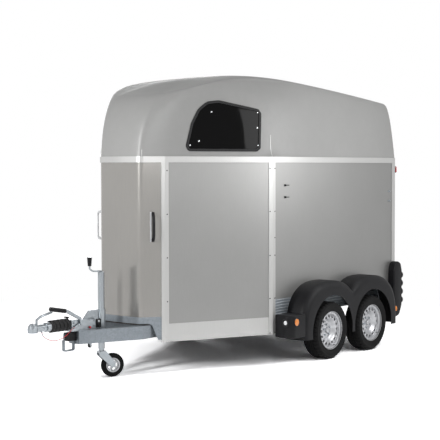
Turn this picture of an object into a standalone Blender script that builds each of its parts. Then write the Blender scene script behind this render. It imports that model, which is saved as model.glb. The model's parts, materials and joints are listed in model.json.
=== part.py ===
"""Two-horse trailer: aluminium body with a tapered nose, polyester hood, tandem axle and V drawbar.

Metres, +Z up, the front towards -Y and the trailer's left side towards +X. The origin is on the ground
under the middle of the trailer's length. Each sub-part is one object, made by its own function.
"""

import math
from collections import namedtuple

import bmesh
import bpy
from mathutils import Matrix, Vector

# Gap that pieces keep where they touch, and room that a moving piece has beside a fixed one
SEAT = 0.0003
RUNNING = 0.0005
DOOR_ROOM = 0.007

# Lengths along the trailer, from the middle of the two axles
BODY_REAR_REACH = 1.182
REAR_SECTION = 2.294
TAPER_LENGTH = 1.033
NOSE_SIDE_LENGTH = 0.200
NOSE_BULGE = 0.018
TAIL_LAMP_PROUD = 0.090

# Half widths of the body, outside
HALF_WIDTH = 0.871
FRONT_POST_X = 0.390
NOSE_BEND_X = 0.255
NOSE_BEND_RADIUS = 0.070
NOSE_BULGE_RADIUS = 1.2

# Heights
BEAM_BOTTOM = 0.355
BEAM_HEIGHT = 0.121
FLOOR_THICKNESS = 0.047
SKIRT_BOTTOM = 0.313
SKIRT_TOP = 0.483
RAIL_TOP = 0.653
WALL_TOP = 1.995
BAND_HEIGHT = 0.056
APRON_TOP = 0.552
APRON_ARCH_ROOM = 0.014
APRON_BOTTOM = 0.335

# Walls and their profiles
WALL = 0.020
SKIRT_WALL = 0.016
APRON_WALL = 0.012
POST_PROUD = 0.005
BAND_PROUD = 0.008
FRONT_POST_FLANGE = 0.036
MID_POST_FLANGE = 0.042
REAR_POST_FLANGE = 0.060
HOOD_WALL = 0.010

# Wheels and tandem axle
TYRE_RADIUS = 0.2925
TYRE_WIDTH = 0.185
TYRE_STEPS = 40
RIM_STEPS = 20
RIM_RADIUS = 0.1955
WHEEL_OUT = 0.1265
AXLE_SPACING = 0.770
AXLE_LEAD = 0.150
AXLE_TUBE = 0.080
AXLE_END_TO_WHEEL = 0.1975
AXLE_TUBE_GAP = 0.0005
ARM_WIDTH = 0.040
DRUM_RADIUS = 0.100
STUB_RADIUS = 0.020
BACK_PLATE_RADIUS = 0.112

# V drawbar
BEAM_WIDTH = 0.060
BEAM_UNDER_HOUSING = 0.0747
BEAM_HALF_ANGLE = math.radians(22.5)
BEAM_REAR_HALF_WIDTH = 0.305
CROSS_MEMBER_WIDTH = 0.060
CROSS_MEMBER_HEIGHT = 0.080
REAR_MEMBER_DEPTH = 0.075

# Overrun device and coupling, heights and lengths
COUPLING_ABOVE_BEAMS = 0.064
COUPLING_LENGTH = 0.235
BELLOWS_LENGTH = 0.230
BELLOWS_RADIUS = 0.056
BELLOWS_WAIST = 0.043
BELLOWS_RINGS = 5
HOUSING_LENGTH = 0.330
HOUSING_WIDTH = 0.100
HOUSING_ABOVE_SHAFT = 0.040
SOCKET_RADIUS = 0.027
HANDBRAKE_X = 0.062
HANDBRAKE_BEHIND = 0.115
CABLE_RADIUS = 0.0028
CABLE_EYE_BEHIND = 0.133
CABLE_EYE_OUT = 0.046
CABLE_SAG = 0.118
CABLE_TAIL_AHEAD = 0.096

# Jockey wheel
HOUSING_TO_JOCKEY = 0.0947
JOCKEY_AHEAD = 0.236
JOCKEY_TUBE_RADIUS = 0.030
JOCKEY_TUBE_BOTTOM = 0.270
JOCKEY_TUBE_TOP = 0.985
JOCKEY_RADIUS = 0.112
JOCKEY_WIDTH = 0.056
JOCKEY_STEPS = 24
JOCKEY_TRAIL = 0.105
JOCKEY_TURN = math.radians(-27)
CLAMP_BELOW_BEAMS = 0.006
CLAMP_ABOVE_HOUSING = 0.060

# Mudguards
MUDGUARD_INNER_X = HALF_WIDTH + SEAT
MUDGUARD_WIDTH = 0.2287
MUDGUARD_OUTER_X = MUDGUARD_INNER_X + MUDGUARD_WIDTH
MUDGUARD_WALL = 0.005
MUDGUARD_REACH = 0.505
MUDGUARD_RISE = 0.503
MUDGUARD_OPENING = 0.362
MUDGUARD_ROUND = 0.070
MUDGUARD_SQUARE = 2.6
MUDGUARD_FOOT = 0.240
LAMP_BOX_BOTTOM = 0.280
LAMP_BOX_TOP = 0.506

# Tail lamp pods
POD_WIDTH = 0.076
POD_SIDE_LENGTH = 0.125
POD_BOTTOM = 0.262
POD_TOP = 0.895
POD_WRAP = 0.049
POD_LAMP_RADIUS = 0.042
POD_LAMP_PROUD = 0.018
POD_LAMP_HEIGHTS = (0.455, 0.549, 0.642, 0.735)

# Ramp, its hinge, and the curtain above it
RAMP_THICKNESS = 0.040
RAMP_ABOVE_AXIS = 0.023
RAMP_TOP = 2.022
RAMP_ROOM = 0.008
RAMP_AXIS_ABOVE_BEAMS = 0.009
RAMP_AXIS_BEHIND = 0.012
RAMP_PIN = 0.008
RAMP_KNUCKLE = 0.013
RAMP_HINGE_INSET = 0.311
RAMP_HINGE_WIDTH = 0.120
CURTAIN_WALL = 0.003
CURTAIN_BAR = 0.022
CURTAIN_ROOM = 0.012

# Entrance door in the right front side panel: u runs along the wall from the front corner
DOOR_START = 0.270
DOOR_WIDTH = 0.640
DOOR_BOTTOM = 0.580
DOOR_TOP = 1.900
DOOR_CORNER = 0.070
DOOR_AXIS_AHEAD = 0.014
DOOR_AXIS_OUT = 0.014
DOOR_PIN = 0.006
DOOR_KNUCKLE = 0.010
DOOR_HINGE_HEIGHTS = (0.800, 1.680)
DOOR_HINGE_HEIGHT = 0.120

# Window in the hood: share of the tapered wall's length from the front corner, height above the band
WINDOW_SHAPE = ((0.215, 0.060), (0.847, 0.060), (0.878, 0.083), (0.888, 0.418), (0.8645, 0.448),
                (0.4915, 0.523), (0.386, 0.508), (0.307, 0.438), (0.2455, 0.308), (0.1975, 0.098))

# Inside
PARTITION_WALL = 0.036
PARTITION_BOTTOM = 0.640
PARTITION_TOP = 1.830
BAR_RADIUS = 0.030
BREAST_BAR = (0.199, 1.656)
BREECH_BAR = (2.165, 1.565)

# Grab handles on the nose side panels
HANDLE_BOTTOM = 1.262
HANDLE_TOP = 1.529
HANDLE_OUT = 0.045
HANDLE_RADIUS = 0.011

# Worked out from the sizes above
BODY_LENGTH = REAR_SECTION + TAPER_LENGTH + NOSE_SIDE_LENGTH + NOSE_BULGE
HOUSING_BEHIND_COUPLING = COUPLING_LENGTH + BELLOWS_LENGTH + SEAT
COUPLING_AHEAD = HOUSING_BEHIND_COUPLING + HOUSING_LENGTH + HOUSING_TO_JOCKEY + JOCKEY_AHEAD
BEAM_FRONT_AHEAD = COUPLING_AHEAD - HOUSING_BEHIND_COUPLING - BEAM_UNDER_HOUSING
OVERALL_LENGTH = COUPLING_AHEAD + BODY_LENGTH + TAIL_LAMP_PROUD
COUPLING_Y = -OVERALL_LENGTH / 2
NOSE_Y = COUPLING_Y + COUPLING_AHEAD
NOSE_BEND_Y = NOSE_Y + NOSE_BULGE
FRONT_POST_Y = NOSE_BEND_Y + NOSE_SIDE_LENGTH
MID_POST_Y = FRONT_POST_Y + TAPER_LENGTH
BODY_REAR = MID_POST_Y + REAR_SECTION
TANDEM_Y = BODY_REAR - BODY_REAR_REACH
TAPER_SPAN = math.hypot(HALF_WIDTH - FRONT_POST_X, TAPER_LENGTH)
BAND_BOTTOM = WALL_TOP + SEAT
BAND_TOP = BAND_BOTTOM + BAND_HEIGHT
HOOD_BASE = BAND_TOP + SEAT
HOOD_CUT = HOOD_BASE - 0.004
BEAM_TOP = BEAM_BOTTOM + BEAM_HEIGHT
FLOOR_BOTTOM = BEAM_TOP + SEAT
FLOOR_TOP = FLOOR_BOTTOM + FLOOR_THICKNESS
APRON_ARCH = BEAM_TOP + APRON_ARCH_ROOM
COUPLING_HEIGHT = BEAM_TOP + COUPLING_ABOVE_BEAMS
HOUSING_TOP = COUPLING_HEIGHT + HOUSING_ABOVE_SHAFT
CLAMP_BOTTOM = BEAM_TOP - CLAMP_BELOW_BEAMS
CLAMP_TOP = HOUSING_TOP + CLAMP_ABOVE_HOUSING
WHEEL_CENTRE_X = HALF_WIDTH + WHEEL_OUT
AXLE_HALF_LENGTH = WHEEL_CENTRE_X - AXLE_END_TO_WHEEL
POD_INNER_X = HALF_WIDTH - POD_WRAP
WHEEL_Z = TYRE_RADIUS * math.cos(math.pi / TYRE_STEPS)
WHEEL_YS = {"front": TANDEM_Y - AXLE_SPACING / 2, "rear": TANDEM_Y + AXLE_SPACING / 2}
JOCKEY_Y = NOSE_Y - JOCKEY_AHEAD
JOCKEY_Z = JOCKEY_RADIUS * math.cos(math.pi / JOCKEY_STEPS)
BELLOWS_FRONT = COUPLING_Y + COUPLING_LENGTH
HOUSING_FRONT = BELLOWS_FRONT + BELLOWS_LENGTH + SEAT
FLOOR_REAR = BODY_REAR - RAMP_THICKNESS - RAMP_ROOM
RAMP_AXIS_Y = BODY_REAR + RAMP_AXIS_BEHIND
RAMP_AXIS_HEIGHT = BEAM_TOP + RAMP_AXIS_ABOVE_BEAMS
RAMP_BOTTOM = RAMP_AXIS_HEIGHT + RAMP_ABOVE_AXIS
RAMP_HINGE_PLACES = (RAMP_HINGE_INSET - HALF_WIDTH, HALF_WIDTH - RAMP_HINGE_INSET)
WINDOW_OUTLINE = tuple((share * TAPER_SPAN, HOOD_BASE + height) for share, height in WINDOW_SHAPE)

PARTS = bpy.data.collections.new("horse_trailer")
CUTTERS = bpy.data.collections.new("cutters")

Finish = namedtuple("Finish", "name colour metallic roughness")
PANEL = Finish("anodised_panel", (0.42, 0.42, 0.41), 0.7, 0.4)
NOSE_SHEET = Finish("champagne_panel", (0.45, 0.44, 0.41), 0.8, 0.3)
PROFILE = Finish("aluminium_profile", (0.62, 0.62, 0.61), 0.8, 0.35)
GALVANISED = Finish("galvanised_steel", (0.35, 0.37, 0.39), 0.9, 0.5)
ZINC = Finish("zinc_plate", (0.55, 0.55, 0.53), 0.9, 0.35)
POLYESTER = Finish("polyester_shell", (0.33, 0.33, 0.33), 0.0, 0.2)
PLASTIC = Finish("black_plastic", (0.03, 0.03, 0.032), 0.0, 0.5)
CABLE_COAT = Finish("red_cable_coat", (0.55, 0.02, 0.02), 0.0, 0.4)
RUBBER = Finish("tyre_rubber", (0.015, 0.015, 0.016), 0.0, 0.8)
RIM_PAINT = Finish("wheel_silver", (0.45, 0.45, 0.46), 0.6, 0.35)
ACRYLIC = Finish("smoked_acrylic", (0.01, 0.01, 0.011), 0.0, 0.1)
TARPAULIN = Finish("grey_tarpaulin", (0.22, 0.22, 0.22), 0.0, 0.7)
PLYWOOD = Finish("coated_plywood", (0.12, 0.10, 0.08), 0.0, 0.6)
PADDING = Finish("black_padding", (0.03, 0.03, 0.03), 0.0, 0.7)


def clear_scene():
    for old in list(bpy.data.objects):
        bpy.data.objects.remove(old, do_unlink=True)
    for collection in (PARTS, CUTTERS):
        bpy.context.scene.collection.children.link(collection)


def material_of(finish):
    material = bpy.data.materials.get(finish.name)
    if material is None:
        material = bpy.data.materials.new(finish.name)
        material.use_nodes = True
        shader = material.node_tree.nodes["Principled BSDF"]
        shader.inputs["Base Color"].default_value = (*finish.colour, 1.0)
        shader.inputs["Metallic"].default_value = finish.metallic
        shader.inputs["Roughness"].default_value = finish.roughness
    return material


def new_object(name, mesh, finish):
    made = bpy.data.objects.new(name, mesh)
    mesh.materials.clear()
    mesh.materials.append(material_of(finish))
    PARTS.objects.link(made)
    return made


def from_bmesh(name, shape, finish):
    mesh = bpy.data.meshes.new(name)
    shape.to_mesh(mesh)
    shape.free()
    return new_object(name, mesh, finish)


def set_origin(made, place):
    """Moves the object's origin to a joint's axis, and leaves its shape where it is."""
    made.data.transform(Matrix.Translation(-Vector(place)))
    made.location = place


def combine(made, other, operation):
    """Joins other to made, or cuts it away, and keeps other as a hidden cutter."""
    modifier = made.modifiers.new(other.name, "BOOLEAN")
    modifier.operation = operation
    modifier.object = other
    modifier.solver = "EXACT"
    for collection in other.users_collection:
        collection.objects.unlink(other)
    CUTTERS.objects.link(other)
    other.hide_render = True
    other.display_type = "WIRE"


def join(made, *others):
    for other in others:
        combine(made, other, "UNION")
    return made


def cut(made, *others):
    for other in others:
        combine(made, other, "DIFFERENCE")
    return made


def box(name, low, high, finish):
    """A box from its lowest to its highest corner."""
    low, high = Vector(low), Vector(high)
    shape = bmesh.new()
    bmesh.ops.create_cube(shape, size=1.0)
    bmesh.ops.scale(shape, vec=high - low, verts=shape.verts)
    bmesh.ops.translate(shape, vec=(low + high) / 2, verts=shape.verts)
    return from_bmesh(name, shape, finish)


def rod(name, start, end, radius, finish, steps=24, end_radius=None):
    """A cylinder or cone between two points."""
    start, end = Vector(start), Vector(end)
    along = end - start
    turn = along.to_track_quat("Z", "Y").to_matrix().to_4x4()
    place = Matrix.Translation((start + end) / 2) @ turn
    shape = bmesh.new()
    bmesh.ops.create_cone(shape, cap_ends=True, segments=steps, radius1=radius,
                          radius2=radius if end_radius is None else end_radius,
                          depth=along.length, matrix=place)
    return from_bmesh(name, shape, finish)


def plate(name, outline, thickness, place, finish):
    """A flat outline, extruded by half its thickness to each side of its plane and moved by a matrix."""
    curve = bpy.data.curves.new(name, "CURVE")
    curve.dimensions = "2D"
    curve.fill_mode = "BOTH"
    curve.extrude = thickness / 2
    spline = curve.splines.new("POLY")
    spline.points.add(len(outline) - 1)
    for point, (x, y) in zip(spline.points, outline):
        point.co = (x, y, 0.0, 1.0)
    spline.use_cyclic_u = True
    drawn = bpy.data.objects.new(name + "_outline", curve)
    CUTTERS.objects.link(drawn)
    bpy.context.view_layer.update()
    mesh = bpy.data.meshes.new_from_object(drawn.evaluated_get(bpy.context.evaluated_depsgraph_get()))
    bpy.data.objects.remove(drawn, do_unlink=True)
    shape = bmesh.new()
    shape.from_mesh(mesh)
    bpy.data.meshes.remove(mesh)
    bmesh.ops.remove_doubles(shape, verts=shape.verts, dist=1e-6)
    bmesh.ops.recalc_face_normals(shape, faces=shape.faces)
    bmesh.ops.transform(shape, matrix=place, verts=shape.verts)
    if place.determinant() < 0:
        bmesh.ops.reverse_faces(shape, faces=shape.faces)
    return from_bmesh(name, shape, finish)


def upright(name, outline, low, high, finish):
    """A plan outline raised from one height to another."""
    place = Matrix.Translation((0.0, 0.0, (low + high) / 2))
    return plate(name, outline, high - low, place, finish)


def facing_x(x):
    """Places an outline given as (y, z) in the plane at this x."""
    return Matrix(((0, 0, 1, x), (1, 0, 0, 0), (0, 1, 0, 0), (0, 0, 0, 1)))


def facing_y(y):
    """Places an outline given as (x, z) in the plane at this y."""
    return Matrix(((1, 0, 0, 0), (0, 0, -1, y), (0, 1, 0, 0), (0, 0, 0, 1)))


def turned(name, profile, steps, place, finish, ring=False):
    """Turns a profile of (radius, height) about its local Z axis, from the top down its outer side."""
    mesh = bpy.data.meshes.new(name)
    last = len(profile)
    pairs = [(i, i + 1) for i in range(last - 1)]
    if ring:
        pairs.append((last - 1, 0))
    mesh.from_pydata([(r, 0.0, z) for r, z in profile], pairs, [])
    made = new_object(name, mesh, finish)
    screw = made.modifiers.new("turn", "SCREW")
    screw.axis = "Z"
    screw.steps = steps
    screw.render_steps = steps
    screw.use_merge_vertices = True
    screw.merge_threshold = 1e-5
    screw.use_smooth_shade = True
    made.matrix_world = place
    return made


def tube(name, points, radius, finish, sides=3):
    """A bent rod along a polyline, as a mesh, so that it can be joined to other pieces."""
    curve = bpy.data.curves.new(name, "CURVE")
    curve.dimensions = "3D"
    curve.bevel_depth = radius
    curve.bevel_resolution = sides
    curve.use_fill_caps = True
    spline = curve.splines.new("POLY")
    spline.points.add(len(points) - 1)
    for point, place in zip(spline.points, points):
        point.co = (*place, 1.0)
    drawn = bpy.data.objects.new(name + "_path", curve)
    CUTTERS.objects.link(drawn)
    bpy.context.view_layer.update()
    mesh = bpy.data.meshes.new_from_object(drawn.evaluated_get(bpy.context.evaluated_depsgraph_get()))
    bpy.data.objects.remove(drawn, do_unlink=True)
    shape = bmesh.new()
    shape.from_mesh(mesh)
    bpy.data.meshes.remove(mesh)
    bmesh.ops.remove_doubles(shape, verts=shape.verts, dist=1e-6)
    bmesh.ops.recalc_face_normals(shape, faces=shape.faces)
    return from_bmesh(name, shape, finish)


def bevelled(made, width, segments, angle=30):
    """Rounds the edges sharper than this angle."""
    modifier = made.modifiers.new("round", "BEVEL")
    modifier.width = width
    modifier.segments = segments
    modifier.limit_method = "ANGLE"
    modifier.angle_limit = math.radians(angle)
    return made


def rounded(points, radii, steps=4, closed=False):
    """A polyline whose corners are arcs of the given radii, 0 for a sharp corner."""
    path = []
    last = len(points) - 1
    for i, (point, radius) in enumerate(zip(points, radii)):
        here = Vector(point)
        if radius == 0 or (not closed and i in (0, last)):
            path.append((here.x, here.y))
            continue
        before = (Vector(points[i - 1]) - here).normalized()
        after = (Vector(points[(i + 1) % (last + 1)]) - here).normalized()
        half = before.angle(after) / 2
        centre = here + (before + after).normalized() * radius / math.sin(half)
        start = here + before * radius / math.tan(half) - centre
        sweep = start.angle_signed(here + after * radius / math.tan(half) - centre)
        for step in range(steps + 1):
            spoke = start.copy()
            spoke.rotate(Matrix.Rotation(-sweep * step / steps, 2))
            path.append((centre.x + spoke.x, centre.y + spoke.y))
    return path


def offset(path, distance):
    """The polyline moved sideways, to the right of its own direction for a positive distance."""
    moved = []
    for i, point in enumerate(path):
        here = Vector(point)
        sides = []
        if i > 0:
            sides.append((here - Vector(path[i - 1])).normalized())
        if i < len(path) - 1:
            sides.append((Vector(path[i + 1]) - here).normalized())
        normals = [Vector((d.y, -d.x)) for d in sides]
        middle = sum(normals, Vector((0.0, 0.0))).normalized()
        moved.append(tuple(here + middle * distance / middle.dot(normals[0])))
    return moved


def length_of(path):
    return sum(math.dist(a, b) for a, b in zip(path, path[1:]))


def stretch(path, start, end):
    """The part of a polyline between two distances along it."""
    kept = []
    done = 0.0
    for a, b in zip(path, path[1:]):
        step = math.dist(a, b)
        for mark in (start, end):
            if done - 1e-9 <= mark < done + step and (mark == end or not kept):
                share = max(0.0, (mark - done) / step)
                kept.append((a[0] + (b[0] - a[0]) * share, a[1] + (b[1] - a[1]) * share))
        if start < done + step < end:
            kept.append(b)
        done += step
    if end >= done - 1e-9:
        kept.append(path[-1])
    clean = [kept[0]]
    for point in kept[1:]:
        if math.dist(point, clean[-1]) > 1e-6:
            clean.append(point)
    return clean


def mirrored(path):
    return [(-x, y) for x, y in reversed(path)]


def strip(path, inward, outward):
    """The plan outline of a wall along a path whose outside is on its right."""
    return offset(path, outward) + offset(path, -inward)[::-1]


def half_plan():
    """Outside of the body, from the middle of the nose along the left side to the rear corner."""
    return ((0.0, NOSE_Y), (NOSE_BEND_X, NOSE_BEND_Y), (FRONT_POST_X, FRONT_POST_Y),
            (HALF_WIDTH, MID_POST_Y), (HALF_WIDTH, BODY_REAR))


def nose_path():
    """From the right front post round the nose to the left front post."""
    centre, bend, post, _, _ = half_plan()
    points = (mirrored((post,))[0], mirrored((bend,))[0], centre, bend, post)
    radii = (0, NOSE_BEND_RADIUS, NOSE_BULGE_RADIUS, NOSE_BEND_RADIUS, 0)
    return rounded(points, radii)


def side_path(first, last):
    return list(half_plan()[first:last + 1])


def ring_path():
    """The whole outside, from the right rear corner round the nose to the left rear corner."""
    left = side_path(2, 4)
    return mirrored(left)[:-1] + nose_path() + left[1:]


def on_side(side, path):
    """A left-side path for either side, kept so that its outside stays on its right."""
    return list(path) if side > 0 else mirrored(path)


SIDES = {"left": 1, "right": -1}


def wall(name, path, low, high, finish, inward=WALL, outward=0.0):
    return upright(name, strip(path, inward, outward), low, high, finish)


def make_floor():
    """The floor slab, inside the walls, with its rear edge ahead of the ramp."""
    inner = offset(ring_path(), -(WALL + SEAT))
    inner[0] = (inner[0][0], FLOOR_REAR)
    inner[-1] = (inner[-1][0], FLOOR_REAR)
    upright("floor", inner, FLOOR_BOTTOM, FLOOR_TOP, PLYWOOD)


def make_walls():
    nose = nose_path()
    span = length_of(nose)
    gap = FRONT_POST_FLANGE + SEAT
    wall("nose_panel", stretch(nose, gap, span - gap), APRON_TOP + SEAT, WALL_TOP, NOSE_SHEET)
    for side_name, side in SIDES.items():
        taper = side_path(2, 3)
        span = length_of(taper)
        panel = stretch(taper, FRONT_POST_FLANGE + SEAT, span - MID_POST_FLANGE - SEAT)
        front = wall(f"front_side_panel_{side_name}", on_side(side, panel),
                     SKIRT_TOP + SEAT, WALL_TOP, PANEL)
        if side < 0:
            cut(front, door_leaf("door_opening", 0.0, 2 * WALL))
            join(front, *door_fixed_hinges())
        skirt = wall(f"skirt_{side_name}", on_side(side, panel), SKIRT_BOTTOM, SKIRT_TOP, PROFILE,
                     inward=SKIRT_WALL)
        skirt.name = f"skirt_{side_name}"
        straight = side_path(3, 4)
        span = length_of(straight)
        panel = stretch(straight, MID_POST_FLANGE + SEAT, span - REAR_POST_FLANGE - SEAT)
        wall(f"rear_side_panel_{side_name}", on_side(side, panel), RAIL_TOP + SEAT, WALL_TOP, PANEL)
        wall(f"floor_rail_{side_name}", on_side(side, panel), FLOOR_BOTTOM, RAIL_TOP, GALVANISED,
             inward=WALL, outward=-0.004)


def make_apron():
    """The bright band under the nose, arched up over the drawbar beams."""
    nose = nose_path()
    span = length_of(nose)
    gap = FRONT_POST_FLANGE + SEAT
    apron = wall("nose_apron", stretch(nose, gap, span - gap), APRON_BOTTOM, APRON_TOP, GALVANISED,
                 inward=APRON_WALL)
    half = BEAM_REAR_HALF_WIDTH + 0.010
    foot = half + 0.040
    arch = rounded(((-foot, APRON_BOTTOM - 0.02), (-half, APRON_ARCH), (half, APRON_ARCH),
                    (foot, APRON_BOTTOM - 0.02)), (0, 0.03, 0.03, 0))
    cut(apron, plate("apron_arch", arch, 1.2, facing_y(NOSE_Y), GALVANISED))


def make_posts():
    ring = ring_path()
    left = side_path(2, 4)
    for side_name, side in SIDES.items():
        front = stretch(nose_path(), length_of(nose_path()) - FRONT_POST_FLANGE, 9.0)
        front = front[:-1] + stretch(left, 0.0, FRONT_POST_FLANGE)
        middle_at = length_of(side_path(2, 3))
        middle = stretch(left, middle_at - MID_POST_FLANGE, middle_at + MID_POST_FLANGE)
        rear = stretch(left, length_of(left) - REAR_POST_FLANGE, 9.0)
        rear.append((HALF_WIDTH - REAR_POST_FLANGE, BODY_REAR))
        for place, path, low, high in (("front", front, SKIRT_BOTTOM, WALL_TOP),
                                       ("mid", middle, SKIRT_BOTTOM, WALL_TOP),
                                       ("rear", rear, BEAM_BOTTOM, BAND_TOP)):
            wall(f"{place}_post_{side_name}", on_side(side, path), low, high, PROFILE,
                 outward=POST_PROUD)
    cut_back = REAR_POST_FLANGE + SEAT
    band = stretch(ring, cut_back, length_of(ring) - cut_back)
    wall("top_band", band, BAND_BOTTOM, BAND_TOP, PROFILE, outward=BAND_PROUD)


Station = namedtuple("Station", "x y top_x top_y top_z square ridge_y ridge_z")


def hood_stations():
    """Half of the hood: base point on the band, shoulder point where the wall meets the roof, how square
    the rise between them is, and the point on the ridge that the roof runs to. Each row of the table has
    the shoulder's x, y and height from the base point, the squareness, and the ridge's y and height."""
    nose = nose_path()
    bend = nose[len(nose) // 2:]
    arc = bend[-6:-1]
    posts = half_plan()
    front, mid, rear = posts[2], posts[3], posts[4]

    def along(a, b, share):
        return (a[0] + (b[0] - a[0]) * share, a[1] + (b[1] - a[1]) * share)

    base = (posts[0], (0.13, NOSE_Y + 0.006), arc[0], arc[2], arc[4], front, along(front, mid, 0.33),
            along(front, mid, 0.68), mid, along(mid, rear, 0.28), along(mid, rear, 0.58),
            along(mid, rear, 0.83), rear)
    tops = ((0.0, 0.293, 0.608, 1.9, 0.843, 0.763), (0.0, 0.292, 0.608, 1.9, 0.927, 0.778),
            (0.014, 0.302, 0.611, 1.9, 1.007, 0.793), (0.059, 0.338, 0.616, 1.95, 1.088, 0.805),
            (0.106, 0.362, 0.628, 2.0, 1.147, 0.815), (0.110, 0.265, 0.653, 2.0, 1.065, 0.823),
            (0.061, 0.184, 0.733, 2.2, 0.834, 0.830), (-0.027, 0.093, 0.780, 2.5, 0.593, 0.834),
            (-0.096, 0.162, 0.780, 2.7, 0.462, 0.834), (-0.096, 0.020, 0.750, 3.4, 0.150, 0.814),
            (-0.103, -0.019, 0.700, 3.6, 0.001, 0.764), (-0.109, -0.052, 0.650, 3.6, -0.052, 0.708),
            (-0.113, -0.130, 0.620, 3.6, -0.130, 0.674))
    return [Station(x, y, x + in_x, y + in_y, HOOD_BASE + rise, n, y + ridge, HOOD_BASE + ridge_rise)
            for (x, y), (in_x, in_y, rise, n, ridge, ridge_rise) in zip(base, tops)]


WALL_ROWS = (0.0, 0.28, 0.52, 0.72, 0.87, 0.96, 1.0)
ROOF_ROWS = (0.45, 1.0)


def hood_column(station):
    """Points of one column of the hood's cage, from the band up over the shoulder to the ridge."""
    column = []
    for rise in WALL_ROWS:
        left = (1.0 - rise ** station.square) ** (1.0 / station.square)
        inward = 1.0 - left
        lean = inward if station.y < BODY_REAR - SEAT else rise
        column.append((station.x + (station.top_x - station.x) * inward,
                       station.y + (station.top_y - station.y) * lean,
                       HOOD_CUT + (station.top_z - HOOD_CUT) * rise))
    for share in ROOF_ROWS:
        column.append((station.top_x * (1.0 - share),
                       station.top_y + (station.ridge_y - station.top_y) * share,
                       station.top_z + (station.ridge_z - station.top_z) * (1 - (1 - share) ** 2)))
    return column


def hood_shell(name, finish):
    """The hood as a thin shell: a coarse half cage, mirrored, subdivided and given its wall."""
    columns = [hood_column(station) for station in hood_stations()]
    shape = bmesh.new()
    corner = shape.verts.layers.float.new("crease_vert")
    sharp = shape.edges.layers.float.new("crease_edge")
    grid = [[shape.verts.new(point) for point in column] for column in columns]
    for column in grid:
        column[0][corner] = 1.0
    for a, b in zip(grid, grid[1:]):
        for row in range(len(a) - 1):
            shape.faces.new((a[row], b[row], b[row + 1], a[row + 1]))
        shape.edges.get((a[0], b[0]))[sharp] = 1.0
    made = from_bmesh(name, shape, finish)
    mirror = made.modifiers.new("mirror", "MIRROR")
    mirror.merge_threshold = 1e-5
    smooth = made.modifiers.new("smooth", "SUBSURF")
    smooth.levels = 1
    smooth.render_levels = 1
    shell = made.modifiers.new("wall", "SOLIDIFY")
    shell.thickness = HOOD_WALL
    shell.offset = -1.0
    shell.use_even_offset = True
    return made


def taper_frame(side):
    """Places an outline given as (u, z) on the tapered wall: u from the front corner, depth outwards."""
    start = Vector((FRONT_POST_X, FRONT_POST_Y, 0.0))
    end = Vector((HALF_WIDTH, MID_POST_Y, 0.0))
    u = (end - start).normalized()
    out = Vector((u.y, -u.x, 0.0))
    frame = Matrix(((u.x, 0, out.x, start.x), (u.y, 0, out.y, start.y), (0, 1, 0, 0), (0, 0, 0, 1)))
    if side < 0:
        frame = Matrix.Diagonal((-1, 1, 1, 1)) @ frame
    return frame


def grown(outline, distance):
    """A closed outline, drawn anticlockwise, made larger all round."""
    wrapped = [outline[-1], *outline, outline[0]]
    return offset(wrapped, distance)[1:-1]


def make_hood():
    """The hood with a window cut in each tapered side, and the panes, which are cut from the same shell."""
    hood = hood_shell("hood", POLYESTER)
    cut(hood, box("hood_foot", (-2 * HALF_WIDTH, COUPLING_Y, HOOD_CUT - 0.05),
                  (2 * HALF_WIDTH, -COUPLING_Y, HOOD_BASE), POLYESTER))
    for side_name, side in SIDES.items():
        frame = taper_frame(side)
        cut(hood, plate(f"window_cut_{side_name}", WINDOW_OUTLINE, 0.40, frame, POLYESTER))
        pane = hood_shell(f"window_{side_name}", ACRYLIC)
        inner = grown(WINDOW_OUTLINE, -SEAT)
        combine(pane, plate(f"window_edge_{side_name}", inner, 0.38, frame, ACRYLIC), "INTERSECT")


def make_curtain():
    """The roll-up curtain in the rear of the hood, with its bottom bar held between the rear posts."""
    rear = hood_column(hood_stations()[-1])
    room = HOOD_WALL + CURTAIN_ROOM
    low, roof = (BAND_TOP + share * (rear[-1][2] - BAND_TOP) for share in (0.15, 0.84))
    half = [(x - room, z - (room if z > roof else 0.0)) for x, _, z in rear if z > low and x > room]
    half = [(rear[0][0] - room - 0.03, BAND_TOP), *half, (0.0, rear[-1][2] - room)]
    outline = half + [(-x, z) for x, z in reversed(half[:-1])]
    outline = [(x, z - BAND_TOP) for x, z in outline]
    rise = rear[-1][2] - BAND_TOP
    lean = (rear[-1][1] - rear[0][1]) / rise
    bar_y = BODY_REAR - WALL / 2
    place = Matrix(((1, 0, 0, 0), (0, lean, -1, bar_y), (0, 1, 0, BAND_TOP), (0, 0, 0, 1)))
    sheet = plate("rear_curtain", outline, CURTAIN_WALL, place, TARPAULIN)
    reach = HALF_WIDTH - REAR_POST_FLANGE - SEAT
    bar = box("curtain_bar", (-reach, bar_y - WALL / 2, BAND_TOP - CURTAIN_BAR + 0.004),
              (reach, bar_y + WALL / 2, BAND_TOP + 0.004), PROFILE)
    join(sheet, bar)


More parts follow.
